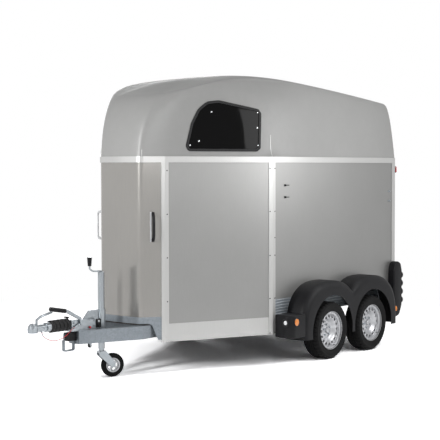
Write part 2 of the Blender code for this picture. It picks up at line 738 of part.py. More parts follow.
def make_chassis():
    """The two drawbar beams, bent where they meet the body sides, and the cross members."""
    front = NOSE_Y - BEAM_FRONT_AHEAD
    slope = math.tan(BEAM_HALF_ANGLE)
    start = BEAM_WIDTH / math.cos(BEAM_HALF_ANGLE)
    outer = [(start, front), (BEAM_REAR_HALF_WIDTH, front + (BEAM_REAR_HALF_WIDTH - start) / slope),
             (BEAM_REAR_HALF_WIDTH, BODY_REAR - WALL - REAR_MEMBER_DEPTH - 2 * SEAT)]
    inner = offset(outer, -BEAM_WIDTH)
    inner[0] = (SEAT, front + SEAT / slope)
    for side_name, side in SIDES.items():
        outline = [(x * side, y) for x, y in outer + inner[::-1] + [(SEAT, front)]]
        upright(f"drawbar_beam_{side_name}", outline if side > 0 else outline[::-1],
                BEAM_BOTTOM, BEAM_TOP, GALVANISED)
    reach = BEAM_REAR_HALF_WIDTH - BEAM_WIDTH - SEAT
    for name, y in (("front", MID_POST_Y - 0.05), ("mid", WHEEL_YS["rear"] + 0.16)):
        box(f"cross_member_{name}", (-reach, y, FLOOR_BOTTOM - SEAT - CROSS_MEMBER_HEIGHT),
            (reach, y + CROSS_MEMBER_WIDTH, FLOOR_BOTTOM - SEAT), GALVANISED)
    make_rear_member()


def make_rear_member():
    """The rear cross member, with the ramp's hinge pins held between its lugs."""
    reach = HALF_WIDTH - WALL - SEAT
    back = BODY_REAR - WALL - SEAT
    member = box("cross_member_rear", (-reach, back - REAR_MEMBER_DEPTH, BEAM_BOTTOM),
                 (reach, back, FLOOR_BOTTOM - SEAT), GALVANISED)
    for place in RAMP_HINGE_PLACES:
        half = RAMP_HINGE_WIDTH / 2
        for end in (-1, 1):
            x = place + end * (half + 0.006)
            outline = rounded(((back - 0.02, RAMP_AXIS_HEIGHT - 0.035),
                               (RAMP_AXIS_Y + RAMP_KNUCKLE, RAMP_AXIS_HEIGHT - 0.035),
                               (RAMP_AXIS_Y + RAMP_KNUCKLE, RAMP_AXIS_HEIGHT + RAMP_KNUCKLE),
                               (RAMP_AXIS_Y - RAMP_KNUCKLE, RAMP_AXIS_HEIGHT + RAMP_KNUCKLE),
                               (back - 0.02, BEAM_TOP - 0.010)),
                              (0, 0.012, 0.011, 0.008, 0), closed=True)
            join(member, plate("ramp_lug", outline, 0.010, facing_x(x), GALVANISED))
        join(member, rod("ramp_pin", (place - half - 0.006, RAMP_AXIS_Y, RAMP_AXIS_HEIGHT),
                         (place + half + 0.006, RAMP_AXIS_Y, RAMP_AXIS_HEIGHT), RAMP_PIN, ZINC, 16))


def make_ramp():
    """The rear ramp: a panel on three knuckles that turn on the rear member's pins."""
    reach = HALF_WIDTH - REAR_POST_FLANGE - RAMP_ROOM
    ramp = box("rear_ramp", (-reach, BODY_REAR - RAMP_THICKNESS, RAMP_BOTTOM),
               (reach, BODY_REAR, RAMP_TOP), PANEL)
    for place in RAMP_HINGE_PLACES:
        half = RAMP_HINGE_WIDTH / 2 - 0.003
        strap = plate("ramp_strap", rounded(
            ((RAMP_AXIS_Y - RAMP_KNUCKLE, RAMP_AXIS_HEIGHT - RAMP_KNUCKLE),
             (RAMP_AXIS_Y + RAMP_KNUCKLE, RAMP_AXIS_HEIGHT - RAMP_KNUCKLE),
             (RAMP_AXIS_Y + RAMP_KNUCKLE, RAMP_BOTTOM + 0.060),
             (BODY_REAR - 0.006, RAMP_BOTTOM + 0.080),
             (BODY_REAR - 0.006, RAMP_AXIS_HEIGHT + RAMP_KNUCKLE)),
            (0.011, 0.011, 0.004, 0, 0), closed=True), 2 * half, facing_x(place), GALVANISED)
        bore = rod("ramp_bore", (place - 0.1, RAMP_AXIS_Y, RAMP_AXIS_HEIGHT),
                   (place + 0.1, RAMP_AXIS_Y, RAMP_AXIS_HEIGHT), RAMP_PIN + RUNNING, ZINC, 16)
        join(ramp, strap)
        cut(ramp, bore)
    set_origin(ramp, (0.0, RAMP_AXIS_Y, RAMP_AXIS_HEIGHT))


def door_leaf(name, shrink, thickness):
    """The door's outline as a plate in the right tapered wall."""
    corners = ((DOOR_START + shrink, DOOR_BOTTOM + shrink),
               (DOOR_START + DOOR_WIDTH - shrink, DOOR_BOTTOM + shrink),
               (DOOR_START + DOOR_WIDTH - shrink, DOOR_TOP - shrink),
               (DOOR_START + shrink, DOOR_TOP - shrink))
    radius = DOOR_CORNER - shrink
    place = taper_frame(-1) @ Matrix.Translation((0.0, 0.0, -WALL / 2))
    return plate(name, rounded(corners, (radius,) * 4, closed=True), thickness, place, PANEL)


def on_door_axis(height, ahead=0.0, out=0.0):
    """A point of the right wall, from the door's hinge axis."""
    u = DOOR_START - DOOR_AXIS_AHEAD + ahead
    return taper_frame(-1) @ Vector((u, height, DOOR_AXIS_OUT + out))


def door_block(name, low, high):
    """A box in the wall's own directions, from the hinge axis: (ahead, height, out) at each corner."""
    outline = ((low[0], low[2]), (high[0], low[2]), (high[0], high[2]), (low[0], high[2]))
    wall_to_plan = taper_frame(-1) @ Matrix.Translation((DOOR_START - DOOR_AXIS_AHEAD, 0, DOOR_AXIS_OUT))
    turn = Matrix(((1, 0, 0, 0), (0, 0, 1, (low[1] + high[1]) / 2), (0, 1, 0, 0), (0, 0, 0, 1)))
    return plate(name, outline, high[1] - low[1], wall_to_plan @ turn, ZINC)


def door_fixed_hinges():
    """Two pins with their lugs on the wall ahead of the door."""
    made = []
    for height in DOOR_HINGE_HEIGHTS:
        half = DOOR_HINGE_HEIGHT / 2
        made.append(rod("door_pin", on_door_axis(height - half), on_door_axis(height + half),
                        DOOR_PIN, ZINC, 12))
        for low, high in ((-half - 0.001, -half / 2), (half / 2, half + 0.001)):
            made.append(door_block("door_lug", (-0.030, height + low, -DOOR_AXIS_OUT - 0.006),
                                   (0.009, height + high, 0.009)))
    return made


def make_door():
    """The entrance door: a leaf as thick as the wall, with two knuckles and their straps."""
    leaf = door_leaf("entrance_door", DOOR_ROOM, WALL)
    for height in DOOR_HINGE_HEIGHTS:
        half = DOOR_HINGE_HEIGHT / 4 - 0.002
        strap = door_block("door_strap", (-0.004, height - half, -DOOR_AXIS_OUT + 0.004),
                           (0.075, height + half, -DOOR_AXIS_OUT + 0.010))
        foot = door_block("door_foot", (0.026, height - half, -DOOR_AXIS_OUT - 0.004),
                          (0.075, height + half, -DOOR_AXIS_OUT + 0.006))
        knuckle = rod("door_knuckle", on_door_axis(height - half), on_door_axis(height + half),
                      DOOR_KNUCKLE, ZINC, 16)
        bore = rod("door_bore", on_door_axis(height - 0.1), on_door_axis(height + 0.1),
                   DOOR_PIN + RUNNING, ZINC, 12)
        join(leaf, foot, strap, knuckle)
        cut(leaf, bore)
    set_origin(leaf, on_door_axis(0.0))


def make_inside():
    """The two bars across the load space, and the partition between them."""
    reach = HALF_WIDTH - WALL - SEAT
    ends = []
    for name, (behind, height) in (("breast_bar", BREAST_BAR), ("breech_bar", BREECH_BAR)):
        y = MID_POST_Y + behind
        ends.append(y)
        rod(name, (-reach, y, height), (reach, y, height), BAR_RADIUS, PADDING, 20)
    low = (-PARTITION_WALL / 2, ends[0] + BAR_RADIUS + SEAT, PARTITION_BOTTOM)
    high = (PARTITION_WALL / 2, ends[1] - BAR_RADIUS - SEAT, PARTITION_TOP)
    bevelled(box("partition", low, high, PADDING), 0.012, 2)


def tyre_profile():
    """A closed tyre section of (radius, axial place), from the outboard bead down its outer side."""
    half = TYRE_WIDTH / 2
    bead = RIM_RADIUS - 0.014
    wall_height = TYRE_RADIUS - bead
    share = ((0.06, 0.80), (0.42, 1.0), (0.80, 0.96), (0.95, 0.84), (1.0, 0.64))
    outer = [(bead + wall_height * r, half * a) for r, a in share]
    lower = [(r, -a) for r, a in reversed(outer)]
    return outer + lower


def rim_profile():
    """A steel disc wheel's outboard side as (radius, axial place), from the hub cap out to the flange."""
    return ((0.0, 0.036), (0.027, 0.034), (0.032, 0.018), (0.056, 0.016), (0.082, 0.010),
            (0.100, 0.023), (0.116, 0.023), (0.152, 0.000), (0.162, 0.012), (0.166, 0.056),
            (RIM_RADIUS - 0.012, 0.066), (RIM_RADIUS - 0.008, 0.080), (RIM_RADIUS, 0.078))


def rim_back(depth):
    """The same piece's inboard side: round the beads, in along the disc and over the drum to the bore."""
    bead = RIM_RADIUS - 0.0145
    return ((bead, 0.0735), (bead, -0.0735), (RIM_RADIUS, -0.078), (RIM_RADIUS - 0.006, -0.086),
            (0.168, -0.066), (0.150, -0.012), (DRUM_RADIUS, 0.002), (DRUM_RADIUS, -depth),
            (STUB_RADIUS + RUNNING, -depth), (STUB_RADIUS + RUNNING, 0.010), (0.0, 0.010))


def make_wheels():
    for side_name, side in SIDES.items():
        for place, y in WHEEL_YS.items():
            centre = (side * WHEEL_CENTRE_X, y, WHEEL_Z)
            outboard = Matrix.Rotation(side * math.pi / 2, 4, "Y")
            half_step = Matrix.Rotation(math.pi / TYRE_STEPS, 4, "Z")
            matrix = Matrix.Translation(centre) @ outboard
            turned(f"tyre_{place}_{side_name}", tyre_profile(), TYRE_STEPS, matrix @ half_step, RUBBER,
                   ring=True)
            drum_depth = WHEEL_CENTRE_X - AXLE_HALF_LENGTH - ARM_WIDTH - 0.020
            profile = rim_profile() + rim_back(drum_depth)
            turned(f"rim_{place}_{side_name}", profile, RIM_STEPS, matrix, RIM_PAINT)


def make_axles():
    """Each torsion axle: its tube under the beams, and at both ends an arm, a back plate and a stub."""
    for place, y in WHEEL_YS.items():
        tube_top = BEAM_BOTTOM - AXLE_TUBE_GAP
        tube_z = tube_top - AXLE_TUBE / 2
        tube_y = y - AXLE_LEAD
        half = AXLE_HALF_LENGTH
        axle = box(f"axle_{place}", (-half, tube_y - AXLE_TUBE / 2, tube_top - AXLE_TUBE),
                   (half, tube_y + AXLE_TUBE / 2, tube_top), GALVANISED)
        for side in (-1, 1):
            inner = side * (half - 0.005)
            outer = side * (half + ARM_WIDTH)
            slant = math.atan2(WHEEL_Z - tube_z, y - tube_y)
            arm = []
            for (cy, cz), radius, start in (((y, WHEEL_Z), 0.034, -90), ((tube_y, tube_z), 0.038, 90)):
                for step in range(7):
                    turn = slant + math.radians(start + 30 * step)
                    arm.append((cy + radius * math.cos(turn), cz + radius * math.sin(turn)))
            join(axle, plate("axle_arm", arm, ARM_WIDTH + 0.005, facing_x((inner + outer) / 2), GALVANISED))
            disc = rod("back_plate", (outer - side * 0.002, y, WHEEL_Z), (outer + side * 0.007, y, WHEEL_Z),
                       BACK_PLATE_RADIUS, GALVANISED, 20)
            stub_end = side * (WHEEL_CENTRE_X + 0.004)
            stub = rod("axle_stub", (outer, y, WHEEL_Z), (stub_end, y, WHEEL_Z), STUB_RADIUS, ZINC, 16)
            join(axle, disc, stub)


def arches_outline(grow, steps=20):
    """Both wheels' arches as one (y, z) outline: squarish half ellipses that meet between the wheels."""
    reach, rise = MUDGUARD_REACH + grow, MUDGUARD_RISE + grow
    meet = AXLE_SPACING / 2
    outline = []
    for step in range(steps + 1):
        turn = math.pi * step / steps
        c, s = math.cos(turn), math.sin(turn)
        y = -math.copysign(abs(c) ** (2 / MUDGUARD_SQUARE), c) * reach
        if y < meet - 0.02:
            outline.append((WHEEL_YS["front"] + y, WHEEL_Z + s ** (2 / MUDGUARD_SQUARE) * rise))
    outline.insert(0, (outline[0][0], 0.05))
    valley = (1 - (meet / reach) ** MUDGUARD_SQUARE) ** (1 / MUDGUARD_SQUARE) * rise
    behind = [(2 * TANDEM_Y - y, z) for y, z in outline]
    return behind + [(TANDEM_Y, WHEEL_Z + valley)] + outline[::-1]


def arches(name, side, grow, inner_x, outer_x, edge):
    """The solid under both arches, rounded along its outer edge."""
    made = plate(name, arches_outline(grow), outer_x - inner_x,
                 facing_x(side * (inner_x + outer_x) / 2), PLASTIC)
    shape = bmesh.new()
    shape.from_mesh(made.data)
    for x in (inner_x, outer_x):
        cap = [f for f in shape.faces if all(abs(v.co.x - side * x) < 1e-5 for v in f.verts)]
        bmesh.ops.dissolve_faces(shape, faces=cap)
    rim = [e for e in shape.edges if all(abs(v.co.x - side * outer_x) < 1e-5 for v in e.verts)]
    bmesh.ops.bevel(shape, geom=rim, offset=edge, segments=3, profile=0.5, affect="EDGES")
    shape.to_mesh(made.data)
    shape.free()
    return made


def make_mudguards():
    """Double arches as one moulding with the front lamp box: hollow over the tyres, open at the wheels."""
    front, rear = WHEEL_YS["front"], WHEEL_YS["rear"]
    for side_name, side in SIDES.items():
        guard = arches(f"mudguard_{side_name}", side, 0.0, MUDGUARD_INNER_X, MUDGUARD_OUTER_X,
                       MUDGUARD_ROUND)
        lamp_front = MID_POST_Y + 0.004
        lamp_back = front - MUDGUARD_REACH + 0.030
        behind_post = MID_POST_Y + MID_POST_FLANGE + 0.002
        outline = [(side * x, y) for x, y in rounded(
            ((MUDGUARD_INNER_X + 0.002, behind_post), (MUDGUARD_OUTER_X - 0.012, lamp_front),
             (MUDGUARD_OUTER_X - 0.012, lamp_back), (MUDGUARD_INNER_X + 0.002, lamp_back)),
            (0, 0.075, 0, 0), closed=True)]
        join(guard, upright("lamp_box", outline, LAMP_BOX_BOTTOM, LAMP_BOX_TOP, PLASTIC))
        cut(guard, arches("hollow", side, -MUDGUARD_WALL, MUDGUARD_INNER_X - 0.05,
                          MUDGUARD_OUTER_X - MUDGUARD_WALL, MUDGUARD_ROUND - MUDGUARD_WALL))
        for y in (front, rear):
            cut(guard, rod("wheel_opening", (side * (MUDGUARD_OUTER_X - 0.06), y, WHEEL_Z),
                           (side * (MUDGUARD_OUTER_X + 0.05), y, WHEEL_Z), MUDGUARD_OPENING, PLASTIC, 36))
        reach = (MUDGUARD_OUTER_X + 0.1, 2 * MUDGUARD_REACH)
        cut(guard, box("foot_cut", (-reach[0], front - reach[1], -0.1),
                       (reach[0], rear + reach[1], MUDGUARD_FOOT), PLASTIC))


def make_tail_lamps():
    """The tall lamp pods that wrap round the rear corners, with four round lamps each."""
    inner = HALF_WIDTH + POST_PROUD + SEAT
    outer = inner + POD_WIDTH
    behind = BODY_REAR + POST_PROUD + SEAT
    back = BODY_REAR + TAIL_LAMP_PROUD - POD_LAMP_PROUD
    start = BODY_REAR - POD_SIDE_LENGTH
    for side_name, side in SIDES.items():
        outline = [(side * x, y) for x, y in rounded(
            ((inner, start), (outer, start + 0.03), (outer, back), (POD_INNER_X, back),
             (POD_INNER_X, behind), (inner, behind)), (0, 0.02, 0.035, 0.01, 0, 0), closed=True)]
        pod = upright(f"tail_lamp_pod_{side_name}", outline, POD_BOTTOM, POD_TOP, PLASTIC)
        shape = rounded(((start - 0.01, POD_BOTTOM + 0.07), (back - 0.06, POD_BOTTOM),
                         (back + 0.01, POD_BOTTOM + 0.05), (back + 0.01, POD_TOP - 0.04),
                         (back - 0.04, POD_TOP), (start - 0.01, POD_TOP)),
                        (0, 0.03, 0.02, 0.05, 0.04, 0.09), closed=True)
        combine(pod, plate("pod_shape", shape, 0.5, facing_x(side * inner), PLASTIC), "INTERSECT")
        x = side * (outer - POD_LAMP_RADIUS - 0.004)
        for height in POD_LAMP_HEIGHTS:
            lamp = rod("lamp_dome", (x, back - 0.01, height), (x, back + POD_LAMP_PROUD, height),
                       POD_LAMP_RADIUS, PLASTIC, 20, POD_LAMP_RADIUS * 0.7)
            join(pod, lamp)


def make_handles():
    """A bent grab handle on each nose side panel."""
    for side_name, side in SIDES.items():
        share = 0.52
        x = NOSE_BEND_X + (FRONT_POST_X - NOSE_BEND_X) * share
        y = NOSE_BEND_Y + NOSE_SIDE_LENGTH * share
        out = Vector((NOSE_SIDE_LENGTH, NOSE_BEND_X - FRONT_POST_X)).normalized()
        points = []
        for depth, height in ((SEAT, HANDLE_BOTTOM), (0.75 * HANDLE_OUT, HANDLE_BOTTOM),
                              (HANDLE_OUT, HANDLE_BOTTOM + 0.02), (HANDLE_OUT, HANDLE_TOP - 0.02),
                              (0.75 * HANDLE_OUT, HANDLE_TOP), (SEAT, HANDLE_TOP)):
            points.append((side * (x + out.x * depth), y + out.y * depth, height))
        tube(f"grab_handle_{side_name}", points, HANDLE_RADIUS, PLASTIC, 2)


def make_overrun():
    """The overrun housing on the beams, with the gusset and clamp that hold the jockey leg."""
    half = HOUSING_WIDTH / 2
    rear = HOUSING_FRONT + HOUSING_LENGTH
    base = BEAM_TOP + SEAT
    housing = box("overrun_housing", (-half, HOUSING_FRONT, base), (half, rear, HOUSING_TOP), ZINC)
    shape = rounded(((HOUSING_FRONT - 0.01, base - 0.01), (rear + 0.01, base - 0.01),
                     (rear + 0.01, HOUSING_TOP - 0.03), (HOUSING_FRONT + 0.05, HOUSING_TOP),
                     (HOUSING_FRONT - 0.01, HOUSING_TOP)), (0, 0, 0.02, 0, 0), closed=True)
    combine(housing, plate("housing_shape", shape, 0.3, facing_x(0.0), ZINC), "INTERSECT")
    tube_room = JOCKEY_TUBE_RADIUS + SEAT
    gusset = rounded(((rear - 0.16, HOUSING_TOP - 0.03), (rear - 0.07, CLAMP_TOP),
                      (JOCKEY_Y, CLAMP_TOP), (JOCKEY_Y, base), (rear - 0.16, base)),
                     (0, 0.01, 0, 0, 0), closed=True)
    join(housing, plate("gusset", gusset, 0.012, facing_x(0.0), GALVANISED),
         rod("clamp", (0.0, JOCKEY_Y, CLAMP_BOTTOM), (0.0, JOCKEY_Y, CLAMP_TOP), tube_room + 0.008,
             GALVANISED, 24))
    cut(housing, rod("clamp_bore", (0.0, JOCKEY_Y, 0.3), (0.0, JOCKEY_Y, 0.8), tube_room, ZINC, 24))


def make_bellows():
    """The rubber bellows over the drawbar shaft."""
    profile = [(0.0, BELLOWS_LENGTH)]
    pitch = BELLOWS_LENGTH / BELLOWS_RINGS
    for ring in range(BELLOWS_RINGS):
        top = BELLOWS_LENGTH - ring * pitch
        profile += [(BELLOWS_WAIST, top), (BELLOWS_RADIUS, top - 0.3 * pitch),
                    (BELLOWS_RADIUS, top - 0.7 * pitch)]
    profile += [(BELLOWS_WAIST, 0.0), (0.0, 0.0)]
    place = Matrix.Translation((0.0, BELLOWS_FRONT, COUPLING_HEIGHT)) @ Matrix.Rotation(-math.pi / 2, 4, "X")
    turned("bellows", profile, 16, place, PLASTIC)


def cable_eye(out):
    """A point on the axis of the cable's eye, which stands out of the neck downwards and to the left."""
    slope = math.radians(-62)
    return (out * math.cos(slope), COUPLING_Y + CABLE_EYE_BEHIND, COUPLING_HEIGHT + out * math.sin(slope))


def handbrake_pivot():
    return (HANDBRAKE_X, HOUSING_FRONT + HANDBRAKE_BEHIND, COUPLING_HEIGHT + 0.010)


def handbrake_tail(ahead):
    """A point on the axis of the handbrake's tail, which slopes down ahead of the pivot."""
    return Vector(handbrake_pivot()) + Vector((0.0, -0.078, -0.030)).normalized() * ahead


def smooth_route(points, pitch):
    """Points at an even pitch on a smooth curve through the given ones."""
    points = [Vector(p) for p in points]
    padded = [2 * points[0] - points[1], *points, 2 * points[-1] - points[-2]]
    fine = []
    for a, b, c, d in zip(padded, padded[1:], padded[2:], padded[3:]):
        for step in range(24):
            t = step / 24
            fine.append(0.5 * (2 * b + (c - a) * t + (2 * a - 5 * b + 4 * c - d) * t * t
                               + (3 * b - a - 3 * c + d) * t ** 3))
    fine.append(points[-1])
    count = round(sum((b - a).length for a, b in zip(fine, fine[1:])) / pitch)
    spacing = sum((b - a).length for a, b in zip(fine, fine[1:])) / count
    route = [fine[0]]
    done = 0.0
    for a, b in zip(fine, fine[1:]):
        step = (b - a).length
        while len(route) < count and done + step >= len(route) * spacing:
            route.append(a.lerp(b, (len(route) * spacing - done) / step))
        done += step
    route.append(fine[-1])
    return route


def make_cable():
    """The breakaway cable, hanging in a loop from the neck's eye to the handbrake's tail."""
    leaving = [cable_eye(CABLE_EYE_OUT + SEAT + ahead) for ahead in (0.0, 0.016, 0.026)]
    arriving = [tuple(handbrake_tail(CABLE_TAIL_AHEAD + SEAT + before)) for before in (0.026, 0.016, 0.0)]
    start = leaving[-1]
    run = arriving[0][1] - start[1]
    low = COUPLING_HEIGHT - CABLE_SAG
    hanging = [(start[0] + out, start[1] + share * run, low + rise)
               for out, share, rise in ((0.009, 0.10, 0.024), (0.018, 0.28, 0.002), (0.025, 0.50, 0.001),
                                        (0.028, 0.75, 0.027))]
    route = leaving + hanging + arriving
    curve = bpy.data.curves.new("breakaway_cable", "CURVE")
    curve.dimensions = "3D"
    curve.bevel_depth = CABLE_RADIUS
    curve.bevel_resolution = 2
    curve.use_fill_caps = True
    places = smooth_route(route, 5 * CABLE_RADIUS)
    spline = curve.splines.new("POLY")
    spline.points.add(len(places) - 1)
    for point, place in zip(spline.points, places):
        point.co = (*place, 1.0)
    new_object("breakaway_cable", curve, CABLE_COAT)


def make_coupling():
    """The coupling head: a domed cup open below, its neck with the cable's eye, and the lever above it."""
    ball_y = COUPLING_Y + 0.046
    neck_end = BELLOWS_FRONT - SEAT
    dome = [(0.0, 0.050), (0.024, 0.044), (0.040, 0.026), (0.046, 0.0), (0.044, -0.034), (0.0, -0.034)]
    head = turned("coupling_head", dome, 24, Matrix.Translation((0.0, ball_y, COUPLING_HEIGHT)), ZINC)
    neck = rod("coupling_neck", (0.0, ball_y, COUPLING_HEIGHT), (0.0, neck_end, COUPLING_HEIGHT),
               0.030, ZINC, 20, 0.036)
    collar = rod("coupling_collar", (0.0, neck_end - 0.045, COUPLING_HEIGHT),
                 (0.0, neck_end, COUPLING_HEIGHT), 0.042, ZINC, 20)
    lever = tube("coupling_lever", ((0.0, ball_y + 0.045, COUPLING_HEIGHT + 0.010),
                                    (0.0, ball_y + 0.045, COUPLING_HEIGHT + 0.075),
                                    (0.0, ball_y + 0.095, COUPLING_HEIGHT + 0.100),
                                    (0.0, ball_y + 0.225, COUPLING_HEIGHT + 0.128)), 0.011, ZINC)
    eye = rod("cable_eye", cable_eye(0.015), cable_eye(CABLE_EYE_OUT), 0.007, ZINC, 12)
    join(head, neck, collar, lever, eye)
    cut(head, rod("ball_socket", (0.0, ball_y, COUPLING_HEIGHT - 0.1),
                  (0.0, ball_y, COUPLING_HEIGHT + 0.018), SOCKET_RADIUS, ZINC, 20))


def make_handbrake():
    """The handbrake lever beside the housing, with its grip."""
    pivot = handbrake_pivot()
    x = pivot[0]
    lever = rod("handbrake_lever", (HOUSING_WIDTH / 2 + SEAT, *pivot[1:]), (x + 0.008, *pivot[1:]),
                0.024, ZINC, 20)
    join(lever, tube("handbrake_arm", (pivot, (x, pivot[1] - 0.02, pivot[2] + 0.04),
                                       (x, pivot[1] - 0.185, pivot[2] + 0.118),
                                       (x, pivot[1] - 0.355, pivot[2] + 0.150)), 0.0085, ZINC),
         rod("handbrake_grip", (x, pivot[1] - 0.205, pivot[2] + 0.122),
             (x, pivot[1] - 0.362, pivot[2] + 0.151), 0.015, PLASTIC, 16),
         rod("handbrake_tail", handbrake_tail(0.012), handbrake_tail(CABLE_TAIL_AHEAD), 0.006, ZINC, 12))


def make_plug_holder():
    """The plug holder under the bellows, on the end of the drawbar, with its guard hoop below."""
    front = NOSE_Y - BEAM_FRONT_AHEAD
    holder = box("plug_holder", (-0.035, front - 0.095, BEAM_BOTTOM + 0.035),
                 (0.035, front - SEAT, COUPLING_HEIGHT - BELLOWS_RADIUS - 0.020), PLASTIC)
    hoop = tube("guard_hoop", ((0.0, front - 0.012, BEAM_BOTTOM + 0.045), (0.0, front - 0.012, 0.305),
                               (0.0, front - 0.125, 0.305), (0.0, front - 0.125, BEAM_BOTTOM + 0.100),
                               (0.0, front - 0.06, BEAM_BOTTOM + 0.100)), 0.007, GALVANISED, 2)
    join(holder, hoop)


def make_jockey():
    """The jockey leg with its crank, the fork that swivels under it, and the wheel."""
    y = JOCKEY_Y
    leg = rod("jockey_leg", (0.0, y, JOCKEY_TUBE_BOTTOM), (0.0, y, JOCKEY_TUBE_TOP),
              JOCKEY_TUBE_RADIUS, ZINC, 24)
    top = JOCKEY_TUBE_TOP
    join(leg, tube("jockey_crank", ((0.0, y + 0.014, top + 0.003), (0.0, y - 0.11, top + 0.012),
                                    (0.0, y - 0.148, top + 0.036), (0.0, y - 0.148, top + 0.075)),
                   0.008, ZINC, 2),
         rod("jockey_knob", (0.0, y - 0.148, top + 0.062), (0.0, y - 0.148, top + 0.142), 0.015,
             PLASTIC, 16, 0.022))
    bridge = (JOCKEY_RADIUS * 2 + 0.006, JOCKEY_RADIUS * 2 + 0.024)
    half = JOCKEY_WIDTH / 2 + 0.007
    fork = box("jockey_fork", (-half - 0.005, -0.034, bridge[0]), (half + 0.005, 0.034, bridge[1]), ZINC)
    join(fork, rod("fork_stem", (0.0, 0.0, bridge[0]), (0.0, 0.0, JOCKEY_TUBE_BOTTOM - SEAT), 0.024,
                   ZINC, 20),
         rod("wheel_pin", (-half - 0.008, JOCKEY_TRAIL, JOCKEY_Z), (half + 0.008, JOCKEY_TRAIL, JOCKEY_Z),
             0.007, ZINC, 12))
    for side in (-1, 1):
        cheek = rounded(((-0.034, bridge[1]), (-0.034, bridge[0] - 0.02),
                         (JOCKEY_TRAIL - 0.018, JOCKEY_Z - 0.018), (JOCKEY_TRAIL + 0.020, JOCKEY_Z - 0.014),
                         (JOCKEY_TRAIL + 0.018, JOCKEY_Z + 0.024), (0.034, bridge[1])),
                        (0, 0.02, 0.014, 0.014, 0.014, 0), closed=True)
        join(fork, plate("fork_cheek", cheek, 0.005, facing_x(side * (half + 0.0025)), ZINC))
    swivel = Matrix.Translation((0.0, y, 0.0)) @ Matrix.Rotation(JOCKEY_TURN, 4, "Z")
    for piece in [fork] + [m.object for m in fork.modifiers]:
        piece.matrix_world = swivel @ piece.matrix_world
    w = JOCKEY_WIDTH / 2
    bore = 0.007 + RUNNING
    profile = [(bore, w), (0.022, w), (0.026, w - 0.012), (0.062, w - 0.012), (0.068, w - 0.002),
               (0.098, w), (JOCKEY_RADIUS, w - 0.018)]
    profile += [(r, -a) for r, a in reversed(profile)]
    axle = Matrix.Translation((0.0, JOCKEY_TRAIL, JOCKEY_Z)) @ Matrix.Rotation(math.pi / 2, 4, "Y")
    half_step = Matrix.Rotation(math.pi / JOCKEY_STEPS, 4, "Z")
    turned("jockey_wheel", profile, JOCKEY_STEPS, swivel @ axle @ half_step, RUBBER, ring=True)


def main():
    clear_scene()
    make_floor()
    make_walls()
    make_apron()
    make_posts()
    make_hood()
    make_curtain()
    make_chassis()
    make_ramp()
    make_door()
    make_inside()
    make_wheels()
    make_axles()
    make_mudguards()
    make_tail_lamps()
    make_handles()
    make_overrun()
    make_bellows()
    make_coupling()
    make_handbrake()
    make_cable()
    make_plug_holder()
    make_jockey()


main()
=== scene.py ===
"""A two-horse trailer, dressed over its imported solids: hood, wheels, mudguards, trim, lamps and padding."""
import json
import logging
import math
from dataclasses import dataclass
from enum import Enum
from typing import Callable

import bmesh
import bpy
from mathutils import Matrix, Vector


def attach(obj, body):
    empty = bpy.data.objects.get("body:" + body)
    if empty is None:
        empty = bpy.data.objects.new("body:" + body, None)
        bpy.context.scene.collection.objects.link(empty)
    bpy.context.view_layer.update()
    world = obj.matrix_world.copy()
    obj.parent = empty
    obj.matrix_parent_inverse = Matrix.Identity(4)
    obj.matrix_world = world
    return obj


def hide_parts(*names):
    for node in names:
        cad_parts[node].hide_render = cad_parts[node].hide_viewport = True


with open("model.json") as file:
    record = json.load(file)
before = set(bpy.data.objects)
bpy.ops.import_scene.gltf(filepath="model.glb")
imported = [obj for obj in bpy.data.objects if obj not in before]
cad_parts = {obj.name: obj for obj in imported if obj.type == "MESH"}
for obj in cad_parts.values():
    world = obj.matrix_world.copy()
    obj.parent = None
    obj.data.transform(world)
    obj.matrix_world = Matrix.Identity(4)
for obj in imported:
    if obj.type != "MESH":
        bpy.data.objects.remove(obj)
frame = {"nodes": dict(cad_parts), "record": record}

LOG = logging.getLogger("horse_trailer")
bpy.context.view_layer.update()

Place = tuple[float, float, float]
Flat = tuple[float, float]
Piece = bpy.types.Object
Test = Callable[[Vector, Vector], bool]

# Metres in the trailer's own frame: +X is its left side, -Y its front.
SIDES: dict[str, int] = {"left": 1, "right": -1}
HALF_WIDTH = 0.871
FRONT_POST = (0.390, -1.0365)
MID_POST_Y = -0.0035
BODY_REAR = 2.2905
WHEEL_X = 0.9975
WHEEL_Z = 0.2916
WHEEL_YS: dict[str, float] = {"front": 0.7235, "rear": 1.4935}

OUTWARDS: Place = (1, 0, 0)
REARWARDS: Place = (0, 1, 0)
MIRROR = Matrix.Diagonal((-1.0, 1.0, 1.0, 1.0))
TURN = 2 * math.pi
TOLERANCE = 1e-5
WHITE = (1.0, 1.0, 1.0, 1.0)
# A wave texture's scale is divided by this, so that one of its bands is about as wide as the pattern's size.
BAND_SCALE = 6.283
COAT_ROUGHNESS = 0.08
CLOUD_SCALE = 2.3


def linear(code: str) -> tuple[float, float, float, float]:
    """Turns an sRGB hex colour into the linear one that a shader takes.

    Args:
        code: six hex digits, red first.

    Returns:
        Red, green, blue and alpha.
    """
    channels = [int(code[i:i + 2], 16) / 255 for i in (0, 2, 4)]
    bent = [c / 12.92 if c <= 0.04045 else ((c + 0.055) / 1.055) ** 2.4 for c in channels]
    return bent[0], bent[1], bent[2], 1.0


def add_node(tree: bpy.types.NodeTree, kind: str, settings: dict[str | int, object],
             links: dict[str | int, bpy.types.NodeSocket]) -> bpy.types.Node:
    """Adds a node with its settings and links.

    Args:
        tree: the tree that the node joins.
        kind: the node's type.
        settings: the node's own properties by name, or its sockets' values by name or number.
        links: output sockets of other nodes, by the name or number of the input that each feeds.

    Returns:
        The new node.
    """
    node = tree.nodes.new(kind)
    for name, value in settings.items():
        if isinstance(name, str) and hasattr(node, name):
            setattr(node, name, value)
        else:
            node.inputs[name].default_value = value
    for name, socket in links.items():
        tree.links.new(socket, node.inputs[name])
    return node


